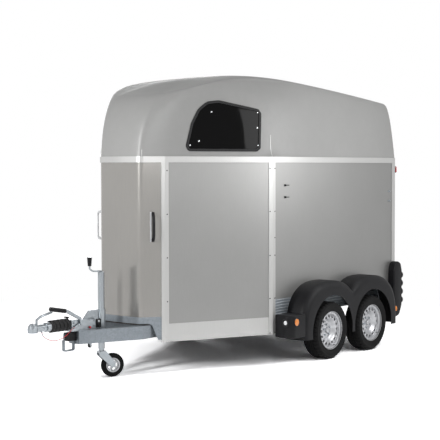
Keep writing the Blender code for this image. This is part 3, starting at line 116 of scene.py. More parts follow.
class Pattern(Enum):
    """How a surface was made, which sets the figure in its colour, gloss and relief."""

    ROLLED = "rolled sheet"
    SPANGLED = "hot dip galvanised"
    CAST = "cast or plated"
    SPRAYED = "sprayed paint"
    GELCOAT = "gelcoat from a mould"
    GRAINED = "grained moulding"
    VULCANISED = "rubber"
    WOVEN = "woven and coated"
    LENS = "clear moulding"


@dataclass(frozen=True)
class Finish:
    """A real material and how its surface was made.

    The pattern's size is in millimetres on the real trailer, and its relief too.
    """

    name: str
    colour: str
    shade: str
    metallic: float
    roughness: float
    pattern: Pattern
    size_mm: float
    relief_mm: float = 0.0
    spread: float = 0.06
    ior: float = 1.5
    coat: float = 0.0
    clear: float = 0.0
    shine: float = 0.5
    along: Place = (1.0, 1.0, 1.0)

    def figure(self, tree: bpy.types.NodeTree, spot: bpy.types.NodeSocket) -> bpy.types.NodeSocket:
        """Adds the fine figure that the making leaves.

        Args:
            tree: the material's nodes.
            spot: the place on the piece, stretched along the grain.

        Returns:
            A socket from 0 to 1.
        """
        scale = 1000.0 / self.size_mm
        if self.pattern is Pattern.SPANGLED:
            cells = add_node(tree, "ShaderNodeTexVoronoi", {"Scale": scale}, {"Vector": spot})
            return cells.outputs["Color"]
        if self.pattern is Pattern.GRAINED:
            cells = add_node(tree, "ShaderNodeTexVoronoi", {"feature": "SMOOTH_F1", "Scale": scale},
                             {"Vector": spot})
            return cells.outputs["Distance"]
        if self.pattern is Pattern.WOVEN:
            warp, weft = [add_node(tree, "ShaderNodeTexWave",
                                   {"bands_direction": way, "Scale": scale / BAND_SCALE, "Distortion": 0.4},
                                   {"Vector": spot}) for way in ("X", "Z")]
            both = add_node(tree, "ShaderNodeMath", {"operation": "MULTIPLY"},
                            {0: warp.outputs["Fac"], 1: weft.outputs["Fac"]})
            return both.outputs[0]
        grain = add_node(tree, "ShaderNodeTexNoise", {"Scale": scale, "Detail": 4.0, "Roughness": 0.6},
                         {"Vector": spot})
        return grain.outputs["Fac"]

    def material(self) -> bpy.types.Material:
        """Builds the material once.

        Returns:
            The material, and the same one at every later call.
        """
        known = bpy.data.materials.get(self.name)
        if known:
            return known
        made = bpy.data.materials.new(self.name)
        made.use_nodes = True
        tree = made.node_tree
        shader = tree.nodes["Principled BSDF"]
        shader.inputs["Metallic"].default_value = self.metallic
        if self.metallic < 0.5:
            shader.inputs["IOR"].default_value = self.ior
        shader.inputs["Specular IOR Level"].default_value = self.shine
        shader.inputs["Coat Weight"].default_value = self.coat
        shader.inputs["Coat Roughness"].default_value = COAT_ROUGHNESS
        shader.inputs["Transmission Weight"].default_value = self.clear
        place = add_node(tree, "ShaderNodeTexCoord", {}, {})
        spot = add_node(tree, "ShaderNodeMapping", {"Scale": self.along},
                        {"Vector": place.outputs["Object"]})
        fine = self.figure(tree, spot.outputs["Vector"])
        broad = add_node(tree, "ShaderNodeTexNoise", {"Scale": CLOUD_SCALE, "Detail": 3.0},
                         {"Vector": place.outputs["Object"]}).outputs["Fac"]
        tint = add_node(tree, "ShaderNodeMix", {"data_type": "RGBA", 6: linear(self.shade),
                                                7: linear(self.colour)}, {0: fine})
        cloud = add_node(tree, "ShaderNodeMapRange", {"From Min": 0.3, "From Max": 0.7, "To Min": 0.55,
                                                      "To Max": 1.0}, {"Value": broad})
        tone = add_node(tree, "ShaderNodeMix", {"data_type": "RGBA", 6: linear(self.shade)},
                        {0: cloud.outputs["Result"], 7: tint.outputs[2]})
        tree.links.new(tone.outputs[2], shader.inputs["Base Color"])
        gloss = add_node(tree, "ShaderNodeMapRange", {"To Min": max(self.roughness - self.spread, 0.02),
                                                      "To Max": min(self.roughness + self.spread, 1.0)},
                         {"Value": fine})
        tree.links.new(gloss.outputs["Result"], shader.inputs["Roughness"])
        if self.relief_mm:
            bump = add_node(tree, "ShaderNodeBump", {"Strength": 0.6, "Distance": self.relief_mm / 1000},
                            {"Height": fine})
            tree.links.new(bump.outputs["Normal"], shader.inputs["Normal"])
        return made


# Anodised aluminium sheet: a soft satin grey with a faint rolling grain, drawn coarser than it is.
SIDE_SHEET = Finish("anodised_side_sheet", "8f8f8e", "868685", 0.8, 0.42, Pattern.ROLLED, 6.0, 0.02,
                    0.03, along=(1.0, 1.0, 0.06))
# Lacquered champagne sheet: the same sheet with a gloss that carries one clear highlight.
NOSE_SHEET = Finish("champagne_lacquered_sheet", "95938f", "8b8986", 0.65, 0.2, Pattern.ROLLED, 8.0, 0.02,
                    0.03, coat=0.5, along=(1.0, 1.0, 0.06))
# Extruded and anodised aluminium: brighter than the sheet, with die lines along its length.
PROFILE = Finish("anodised_profile", "b6b6b5", "aaaaa9", 0.6, 0.38, Pattern.ROLLED, 5.0, 0.02, 0.04,
                 along=(1.0, 1.0, 0.05))
# Hot dip galvanised steel: bluish grey crystals, 8 to 20 mm across, dull.
GALVANISED = Finish("hot_dip_galvanised_steel", "878d93", "71787e", 0.6, 0.46, Pattern.SPANGLED, 14.0, 0.05,
                    0.12)
# Zinc plated and clear passivated steel: bright with a soft cloud.
ZINC = Finish("zinc_plated_steel", "a3a8ac", "8b9196", 0.8, 0.32, Pattern.CAST, 9.0, 0.05, 0.1)
# Grey polyester gelcoat from a polished mould: half gloss, faintly wavy.
GELCOAT = Finish("grey_gelcoat", "8b8b8a", "838382", 0.0, 0.4, Pattern.GELCOAT, 90.0, 0.6, 0.04, shine=0.3)
# Black polyethylene, rotation moulded: satin, with a leathery grain of about 3 mm.
BLACK_PLASTIC = Finish("grained_polyethylene", "18181a", "121214", 0.0, 0.5, Pattern.GRAINED, 3.0, 0.12,
                       0.08, shine=0.14)
# Natural rubber, vulcanised: dull black, slightly dusty.
BLACK_RUBBER = Finish("moulded_rubber", "1c1c1d", "151516", 0.0, 0.62, Pattern.VULCANISED, 5.0, 0.08,
                      shine=0.25)
# Tyre compound with carbon black: dull black with road dust in its figure.
TYRE = Finish("tyre_compound", "111112", "0c0c0c", 0.0, 0.7, Pattern.VULCANISED, 8.0, 0.1, 0.1, shine=0.12)
# Silver wheel paint over steel: fine metallic flake under a thin clear coat.
WHEEL_PAINT = Finish("silver_wheel_paint", "b4b5b8", "a3a4a7", 0.6, 0.34, Pattern.SPRAYED, 2.0, 0.02, 0.05,
                     coat=0.2)
# Smoked acrylic sheet: almost black, with a polished face.
SMOKED = Finish("smoked_acrylic_sheet", "070708", "050505", 0.0, 0.06, Pattern.LENS, 120.0, 0.0, 0.02,
                ior=1.49, shine=0.08)
# Polyester cloth coated on both faces: grey, with the weave pressed through, in threads 4 mm wide to show.
TARPAULIN = Finish("coated_polyester_cloth", "8f9090", "7f8080", 0.0, 0.62, Pattern.WOVEN, 4.0, 0.25)
# Birch plywood under brown phenolic film: a pressed mesh with lines 5 mm wide.
PLYWOOD = Finish("phenolic_film_plywood", "3a3029", "2f2721", 0.0, 0.5, Pattern.WOVEN, 5.0, 0.3)
# Vinyl cover over foam: black, with a leather grain.
VINYL = Finish("vinyl_cover", "2a2a2b", "202021", 0.0, 0.5, Pattern.GRAINED, 3.5, 0.2)
# Acrylic lamp lenses: amber, red and clear, each glossy.
AMBER, RED, CLEAR = [Finish(name, colour, shade, 0.0, rough, Pattern.LENS, 6.0, 0.3, 0.03, ior=1.49, coat=0.5)
                     for name, colour, shade, rough in (("amber_lens", "dc7f12", "c46c0a", 0.12),
                                                        ("red_lens", "b3141a", "8e0d12", 0.12),
                                                        ("clear_lens", "f2f3f4", "dcdee0", 0.1))]
# Turned and polished fasteners: small and bright, in the panes of the hood.
BRIGHT = Finish("polished_fitting", "d8dadc", "c0c3c6", 1.0, 0.18, Pattern.CAST, 5.0, 0.02)
# Red plastic sleeve over steel wire: glossy and even.
CABLE_SLEEVE = Finish("red_cable_sleeve", "b8242c", "9f1a22", 0.0, 0.35, Pattern.CAST, 4.0, 0.02, 0.04,
                      ior=1.46)
# Light grey moulded nylon: satin, on the right grip, the left one's plate and the clamp's knob.
GREY_NYLON = Finish("grey_nylon", "b3b4b6", "a6a7a9", 0.0, 0.5, Pattern.CAST, 5.0, 0.03, shine=0.4)

SLOTS: dict[str, Finish] = {
    "side_sheet": SIDE_SHEET, "nose_sheet": NOSE_SHEET, "aluminium_profile": PROFILE,
    "galvanised_steel": GALVANISED, "zinc_plate": ZINC, "polyester_shell": GELCOAT,
    "black_plastic": BLACK_PLASTIC, "black_rubber": BLACK_RUBBER, "tyre_rubber": TYRE,
    "wheel_silver": WHEEL_PAINT, "smoked_acrylic": SMOKED, "grey_tarpaulin": TARPAULIN,
    "coated_plywood": PLYWOOD, "black_padding": VINYL, "red_cable_coat": CABLE_SLEEVE,
}


class Bench:
    """The modelling bench: Blender's own operators, used on one piece at a time."""

    @staticmethod
    def clear() -> None:
        """Leaves nothing selected."""
        bpy.ops.object.select_all(action="DESELECT")

    @staticmethod
    def hold(piece: Piece) -> None:
        """Selects one piece alone and makes it the active one.

        Args:
            piece: the piece.
        """
        Bench.clear()
        piece.select_set(True)
        bpy.context.view_layer.objects.active = piece

    @staticmethod
    def named(name: str) -> Piece:
        """Names the primitive just added, and puts its place in its mesh.

        Args:
            name: the piece's name.

        Returns:
            The piece.
        """
        piece = bpy.context.active_object
        piece.name = piece.data.name = name
        Bench.hold(piece)
        bpy.ops.object.transform_apply(location=True, rotation=True, scale=True)
        return piece

    @staticmethod
    def edit(piece: Piece, kind: str = "FACE") -> None:
        """Opens a piece in edit mode with nothing selected.

        Args:
            piece: the piece to open.
            kind: VERT, EDGE or FACE, for what is selected in it.
        """
        Bench.hold(piece)
        bpy.ops.object.mode_set(mode="EDIT")
        bpy.ops.mesh.select_mode(type=kind)
        bpy.ops.mesh.select_all(action="DESELECT")

    @staticmethod
    def done() -> None:
        """Closes edit mode."""
        bpy.ops.object.mode_set(mode="OBJECT")

    @staticmethod
    def pick(piece: Piece, test: Test, edges: bool = False) -> None:
        """Selects faces or edges of the open piece by their place.

        Args:
            piece: the piece in edit mode.
            test: is given an element's middle and its normal, or an edge's direction.
            edges: True to go over edges.
        """
        shape = bmesh.from_edit_mesh(piece.data)
        if edges:
            for edge in shape.edges:
                a, b = edge.verts[0].co, edge.verts[1].co
                edge.select_set(test((a + b) / 2, (b - a).normalized()))
        else:
            for face in shape.faces:
                face.select_set(test(face.calc_center_median(), face.normal))
        shape.select_flush_mode()
        bmesh.update_edit_mesh(piece.data)

    @staticmethod
    def bevel(piece: Piece, test: Test, offset: float, segments: int) -> None:
        """Bevels the edges that pass a test.

        Args:
            piece: the piece.
            test: is given an edge's middle and its direction.
            offset: how far the bevel reaches.
            segments: how many faces it has across.
        """
        Bench.edit(piece, "EDGE")
        Bench.pick(piece, test, edges=True)
        bpy.ops.mesh.bevel(offset=offset, segments=segments, affect="EDGES")
        Bench.done()

    @staticmethod
    def apply(piece: Piece) -> Piece:
        """Applies every modifier of a piece.

        Args:
            piece: the piece.

        Returns:
            The same piece.
        """
        Bench.hold(piece)
        for modifier in list(piece.modifiers):
            bpy.ops.object.modifier_apply(modifier=modifier.name)
        return piece

    @staticmethod
    def thicken(piece: Piece, wall: float, offset: float = 0.0, even: bool = False) -> Piece:
        """Gives a sheet a wall.

        Args:
            piece: the sheet.
            wall: how thick the wall is.
            offset: -1 for all of it behind the sheet, 1 for all of it in front.
            even: True to keep it as thick at a bend.

        Returns:
            The same piece.
        """
        step = piece.modifiers.new("wall", "SOLIDIFY")
        step.thickness, step.offset = wall, offset
        step.use_even_offset = even
        return Bench.apply(piece)

    @staticmethod
    def smooth(piece: Piece, degrees: float = 30.0) -> Piece:
        """Shades a piece smooth up to an angle between faces.

        Args:
            piece: the piece.
            degrees: the angle.

        Returns:
            The same piece.
        """
        Bench.hold(piece)
        bpy.ops.object.shade_smooth_by_angle(angle=math.radians(degrees))
        return piece

    @staticmethod
    def drop(*pieces: Piece) -> None:
        """Deletes pieces that served as tools.

        Args:
            pieces: the pieces to delete.
        """
        Bench.clear()
        for piece in pieces:
            piece.select_set(True)
        bpy.ops.object.delete()

    @staticmethod
    def copy(piece: Piece, name: str, place: Matrix = Matrix()) -> Piece:
        """Copies a piece with its own mesh.

        Args:
            piece: the piece to copy.
            name: the copy's name.
            place: how the copy's mesh is moved.

        Returns:
            The copy.
        """
        twin = piece.copy()
        twin.data = piece.data.copy()
        twin.name = twin.data.name = name
        twin.parent = None
        bpy.context.scene.collection.objects.link(twin)
        twin.data.transform(place)
        if place.determinant() < 0:
            twin.data.flip_normals()
        return twin

    @staticmethod
    def weld(pieces: list[Piece], name: str) -> Piece:
        """Joins pieces into the first one.

        Args:
            pieces: the pieces.
            name: the name of what they make.

        Returns:
            The first piece.
        """
        Bench.clear()
        for piece in pieces:
            piece.select_set(True)
        bpy.context.view_layer.objects.active = pieces[0]
        if len(pieces) > 1:
            bpy.ops.object.join()
        pieces[0].name = pieces[0].data.name = name
        return pieces[0]

    @staticmethod
    def repeat(master: Piece, name: str, places: list[Matrix]) -> Piece:
        """Copies a modelled part to each place and joins the copies as one piece.

        Args:
            master: the part, which is deleted.
            name: the name of what the copies make.
            places: how each copy's mesh is moved.

        Returns:
            The piece.
        """
        copies = [Bench.copy(master, f"{name}_{i}", place) for i, place in enumerate(places)]
        Bench.drop(master)
        return Bench.weld(copies, name)

    @staticmethod
    def combine(piece: Piece, tool: Piece, how: str = "DIFFERENCE") -> Piece:
        """Cuts, joins or crosses a piece with a closed tool, and deletes the tool.

        Args:
            piece: the piece.
            tool: the closed tool.
            how: DIFFERENCE, UNION or INTERSECT.

        Returns:
            The same piece.
        """
        step = piece.modifiers.new(how.lower(), "BOOLEAN")
        step.operation = how
        step.solver = "EXACT"
        step.object = tool
        Bench.apply(piece)
        Bench.drop(tool)
        return piece

    @staticmethod
    def block(name: str, low: Place, high: Place, bevel: float = 0.0, segments: int = 2) -> Piece:
        """Models a block with its edges bevelled.

        Args:
            name: the piece's name.
            low: the corner with the least of each coordinate.
            high: the corner opposite.
            bevel: how far the bevels reach, or 0 for none.
            segments: how many faces a bevel has across.

        Returns:
            The piece.
        """
        Bench.clear()
        middle = [(a + b) / 2 for a, b in zip(low, high)]
        size = [b - a for a, b in zip(low, high)]
        bpy.ops.mesh.primitive_cube_add(size=1.0, location=middle, scale=size)
        piece = Bench.named(name)
        if bevel:
            Bench.bevel(piece, lambda at, way: True, bevel, segments)
        return piece

    @staticmethod
    def post(name: str, start: Place, end: Place, radius: float, steps: int = 32,
             bevel: float = 0.0) -> Piece:
        """Models a round post between two points, with its end edges bevelled.

        Args:
            name: the piece's name.
            start: the middle of one end.
            end: the middle of the other.
            radius: the post's radius.
            steps: how many sides it has.
            bevel: how far the bevels reach, or 0 for none.

        Returns:
            The piece.
        """
        Bench.clear()
        a, b = Vector(start), Vector(end)
        turn = (b - a).to_track_quat("Z", "Y")
        bpy.ops.mesh.primitive_cylinder_add(vertices=steps, radius=radius, depth=(b - a).length)
        piece = Bench.named(name)
        if bevel:
            half = (b - a).length / 2
            Bench.bevel(piece, lambda at, way: abs(abs(at.z) - half) < TOLERANCE and abs(way.z) < 0.5, bevel, 3)
        piece.data.transform(Matrix.Translation((a + b) / 2) @ turn.to_matrix().to_4x4())
        return piece

    @staticmethod
    def ring(name: str, corners: list[Place], fill: str = "NOTHING") -> Piece:
        """Models a closed ring, drawn to its corners in order.

        Args:
            name: the piece's name.
            corners: the ring's corners.
            fill: NGON to fill it with one face.

        Returns:
            The piece.
        """
        Bench.clear()
        bpy.ops.mesh.primitive_circle_add(vertices=len(corners), radius=1.0, fill_type=fill)
        piece = Bench.named(name)
        order = sorted(piece.data.vertices, key=lambda v: math.atan2(v.co.y, v.co.x) % TURN)
        for vertex, corner in zip(order, corners):
            vertex.co = corner
        return piece

    @staticmethod
    def grid(name: str, across: int, up: int) -> Piece:
        """Models a flat grid, one metre square and centred, on the XY plane.

        Args:
            name: the piece's name.
            across: how many faces it has along X.
            up: how many it has along Y.

        Returns:
            The piece.
        """
        Bench.clear()
        bpy.ops.mesh.primitive_grid_add(x_subdivisions=across, y_subdivisions=up, size=1.0)
        return Bench.named(name)

    @staticmethod
    def plate(name: str, outline: list[Flat], depth: float, place: Matrix) -> Piece:
        """Models a flat plate: a filled ring, drawn to an outline and extruded.

        Args:
            name: the piece's name.
            outline: corners, anticlockwise.
            depth: how thick it is, half of it on each side of the outline's plane.
            place: carries the outline's plane to its place.

        Returns:
            The piece.
        """
        piece = Bench.ring(name, [(x, y, -depth / 2) for x, y in outline], "NGON")
        Bench.edit(piece)
        bpy.ops.mesh.select_all(action="SELECT")
        bpy.ops.mesh.extrude_region_move(TRANSFORM_OT_translate={"value": (0, 0, depth)})
        bpy.ops.mesh.select_all(action="SELECT")
        bpy.ops.mesh.normals_make_consistent(inside=False)
        Bench.done()
        piece.data.transform(place)
        if place.determinant() < 0:
            piece.data.flip_normals()
        return piece

    @staticmethod
    def lathe(name: str, profile: list[Flat], steps: int, place: Matrix = Matrix()) -> Piece:
        """Spins a closed section of (radius, height) about its axis.

        Args:
            name: the piece's name.
            profile: the section's corners in order; it may start and end on the axis.
            steps: how many steps the spin takes.
            place: carries the axis, which is Z, to its place.

        Returns:
            The piece.
        """
        piece = Bench.ring(name, [(r, 0.0, z) for r, z in profile])
        Bench.edit(piece, "VERT")
        bpy.ops.mesh.select_all(action="SELECT")
        bpy.ops.mesh.spin(steps=steps, angle=TURN, center=(0, 0, 0), axis=(0, 0, 1))
        bpy.ops.mesh.select_all(action="SELECT")
        bpy.ops.mesh.remove_doubles(threshold=TOLERANCE)
        bpy.ops.mesh.delete_loose(use_verts=True, use_edges=True, use_faces=False)
        bpy.ops.mesh.select_all(action="SELECT")
        bpy.ops.mesh.normals_make_consistent(inside=False)
        Bench.done()
        piece.data.transform(place)
        return piece

    @staticmethod
    def pipe(name: str, points: list[Place], radius: float, rings: int = 4) -> Piece:
        """Models a bent round bar, closed at both ends.

        Args:
            name: the piece's name.
            points: the bar's middle line.
            radius: the bar's radius.
            rings: how finely its section is rounded.

        Returns:
            The piece.
        """
        curve = bpy.data.curves.new(name, "CURVE")
        curve.dimensions = "3D"
        curve.bevel_depth = radius
        curve.bevel_resolution = rings
        curve.use_fill_caps = True
        line = curve.splines.new("POLY")
        line.points.add(len(points) - 1)
        for spot, point in zip(line.points, points):
            spot.co = (*point, 1.0)
        piece = bpy.data.objects.new(name, curve)
        bpy.context.scene.collection.objects.link(piece)
        Bench.hold(piece)
        bpy.ops.object.convert(target="MESH")
        return bpy.context.active_object

    @staticmethod
    def dome(name: str, radius: float, height: float, place: Matrix, steps: int = 32) -> Piece:
        """Models a low dome with a rounded foot, its flat back on the local XY plane.

        Args:
            name: the piece's name.
            radius: the foot's radius.
            height: how high the dome is.
            place: carries the dome to its place.
            steps: how many steps it has round.

        Returns:
            The piece.
        """
        rows = [(radius * math.cos(t), height * (0.35 + 0.65 * math.sin(t)))
                for t in (math.pi / 2 * i / 6 for i in range(6))]
        return Bench.lathe(name, [(0.0, 0.0), (radius, 0.0), *rows, (0.0, height)], steps, place)

    @staticmethod
    def hexagon(name: str, size: float, height: float, place: Matrix) -> Piece:
        """Models a hexagon bolt head, chamfered at its top, on a washer.

        Args:
            name: the piece's name.
            size: the head's radius over its corners.
            height: how high the head is.
            place: carries the washer's back to its place.

        Returns:
            The piece.
        """
        Bench.clear()
        bpy.ops.mesh.primitive_cylinder_add(vertices=6, radius=size, depth=height,
                                            location=(0, 0, height / 2 + 0.0015))
        head = Bench.named(name)
        Bench.bevel(head, lambda at, way: at.z > height and abs(way.z) < 0.5, size * 0.18, 2)
        washer = Bench.lathe("washer", [(0.0, 0.0), (size * 1.3, 0.0), (size * 1.3, 0.0013), (0.0, 0.0018)], 20)
        made = Bench.weld([head, washer], name)
        made.data.transform(place)
        return made

    @staticmethod
    def coat(piece: Piece, finish: Finish, test: Test | None = None) -> Piece:
        """Gives a piece its finish, or only those of its faces that pass a test.

        Args:
            piece: the piece.
            finish: the finish.
            test: is given a face's middle and its normal.

        Returns:
            The same piece.
        """
        if test is None:
            piece.data.materials.clear()
            piece.data.materials.append(finish.material())
            return piece
        piece.data.materials.append(finish.material())
        index = len(piece.data.materials) - 1
        for face in piece.data.polygons:
            if test(face.center, face.normal):
                face.material_index = index
        return piece

    @staticmethod
    def fit(piece: Piece, body: str, slot: str, replaces: list[str] | None = None) -> None:
        """Makes a piece ride on a body.

        Args:
            piece: the piece.
            body: the body's name.
            slot: the piece's material slot; not used.
            replaces: the nodes that it stands for.
        """
        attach(piece, body)
        if replaces:
            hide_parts(*replaces)

    @staticmethod
    def dress(piece: Piece, finish: Finish, slot: str, degrees: float = 30.0, body: str = "root",
              replaces: list[str] | None = None) -> Piece:
        """Shades a piece, gives it its finish and fits it to a body.

        Args:
            piece: the piece.
            finish: its finish.
            slot: its material slot.
            degrees: up to which angle between faces it is smooth.
            body: the body that it rides on.
            replaces: the nodes that it stands for.

        Returns:
            The same piece.
        """
        Bench.coat(Bench.smooth(piece, degrees), finish)
        Bench.fit(piece, body, slot, replaces)
        return piece

    @staticmethod
    def pair(piece: Piece, name: str, finish: Finish, slot: str, degrees: float = 40.0,
             node: str = "") -> None:
        """Dresses a piece modelled on the left, which rides on the body, and mirrors it for the right.

        Args:
            piece: the left piece.
            name: the name of both, before the side.
            finish: their finish.
            slot: their material slot.
            degrees: up to which angle between faces they are smooth.
            node: the name, before the side, of the node that each stands for.
        """
        Bench.coat(Bench.smooth(piece, degrees), finish)
        piece.name = piece.data.name = f"{name}_left"
        twin = Bench.copy(piece, f"{name}_right", MIRROR)
        for made, side_name in zip((piece, twin), SIDES):
            Bench.fit(made, "root", slot, [f"{node}_{side_name}"] if node else None)


def rounded(corners: list[Flat], radii: list[float], steps: int = 6) -> list[Flat]:
    """Rounds the corners of a closed outline.

    Args:
        corners: the outline's corners.
        radii: each corner's radius, or 0 for a sharp one.
        steps: how many steps a rounding takes.

    Returns:
        The rounded outline.
    """
    outline: list[Flat] = []
    count = len(corners)
    for i, (corner, radius) in enumerate(zip(corners, radii)):
        at = Vector(corner)
        before = Vector(corners[i - 1]) - at
        after = Vector(corners[(i + 1) % count]) - at
        if radius <= 0.0:
            outline.append((at.x, at.y))
            continue
        half = before.angle(after) / 2
        reach = min(radius / math.tan(half), 0.499 * before.length, 0.499 * after.length)
        radius = reach * math.tan(half)
        middle = at + (before.normalized() + after.normalized()).normalized() * (radius / math.sin(half))
        a = at + before.normalized() * reach - middle
        b = at + after.normalized() * reach - middle
        sweep = a.angle_signed(b)
        for step in range(steps + 1):
            turned = Matrix.Rotation(-sweep * step / steps, 2) @ a
            outline.append((middle.x + turned.x, middle.y + turned.y))
    return outline


def facing_x(x: float) -> Matrix:
    """Carries an outline of (y, z) to a plane across X."""
    return Matrix(((0, 0, 1, x), (1, 0, 0, 0), (0, 1, 0, 0), (0, 0, 0, 1)))


def oblong(low: Flat, high: Flat, radius: float) -> list[Flat]:
    """The outline of a rectangle with rounded corners.

    Args:
        low: the corner with the least of both coordinates.
        high: the corner opposite.
        radius: the radius of every corner.

    Returns:
        The outline, anticlockwise.
    """
    return rounded([low, (high[0], low[1]), high, (low[0], high[1])], [radius] * 4, 4)


def taper_frame(side: int) -> Matrix:
    """Carries an outline of (u, z) to a tapered wall: u runs back from the front post, depth outwards.

    Args:
        side: 1 for the left wall, -1 for the right one.

    Returns:
        The matrix.
    """
    start = Vector((*FRONT_POST, 0.0))
    along = (Vector((HALF_WIDTH, MID_POST_Y, 0.0)) - start).normalized()
    out = Vector((along.y, -along.x, 0.0))
    made = Matrix(((along.x, 0, out.x, start.x), (along.y, 0, out.y, start.y), (0, 1, 0, 0), (0, 0, 0, 1)))
    return made if side > 0 else MIRROR @ made


def looking(place: Place, way: Place) -> Matrix:
    """Carries a piece modelled up its local Z to a place, facing a direction."""
    turn = Vector(way).to_track_quat("Z", "Y").to_matrix().to_4x4()
    return Matrix.Translation(place) @ turn


def smooth_route(points: list[Place], pitch: float) -> list[Place]:
    """Spreads points at an even pitch along a smooth curve through the given ones.

    Args:
        points: the route's own points.
        pitch: about how far apart the made points are.

    Returns:
        The made points, with both ends kept.
    """
    route = [Vector(p) for p in points]
    padded = [2 * route[0] - route[1], *route, 2 * route[-1] - route[-2]]
    fine: list[Vector] = []
    parts = 24
    for a, b, c, d in zip(padded, padded[1:], padded[2:], padded[3:]):
        for step in range(parts):
            t = step / parts
            fine.append(0.5 * (2 * b + (c - a) * t + (2 * a - 5 * b + 4 * c - d) * t * t
                               + (3 * b - a - 3 * c + d) * t ** 3))
    fine.append(route[-1])
    total = sum((b - a).length for a, b in zip(fine, fine[1:]))
    count = round(total / pitch)
    made, done = [fine[0]], 0.0
    for a, b in zip(fine, fine[1:]):
        step_length = (b - a).length
        while len(made) < count and done + step_length >= len(made) * total / count:
            made.append(a.lerp(b, (len(made) * total / count - done) / step_length))
        done += step_length
    made.append(fine[-1])
    return [tuple(p) for p in made]


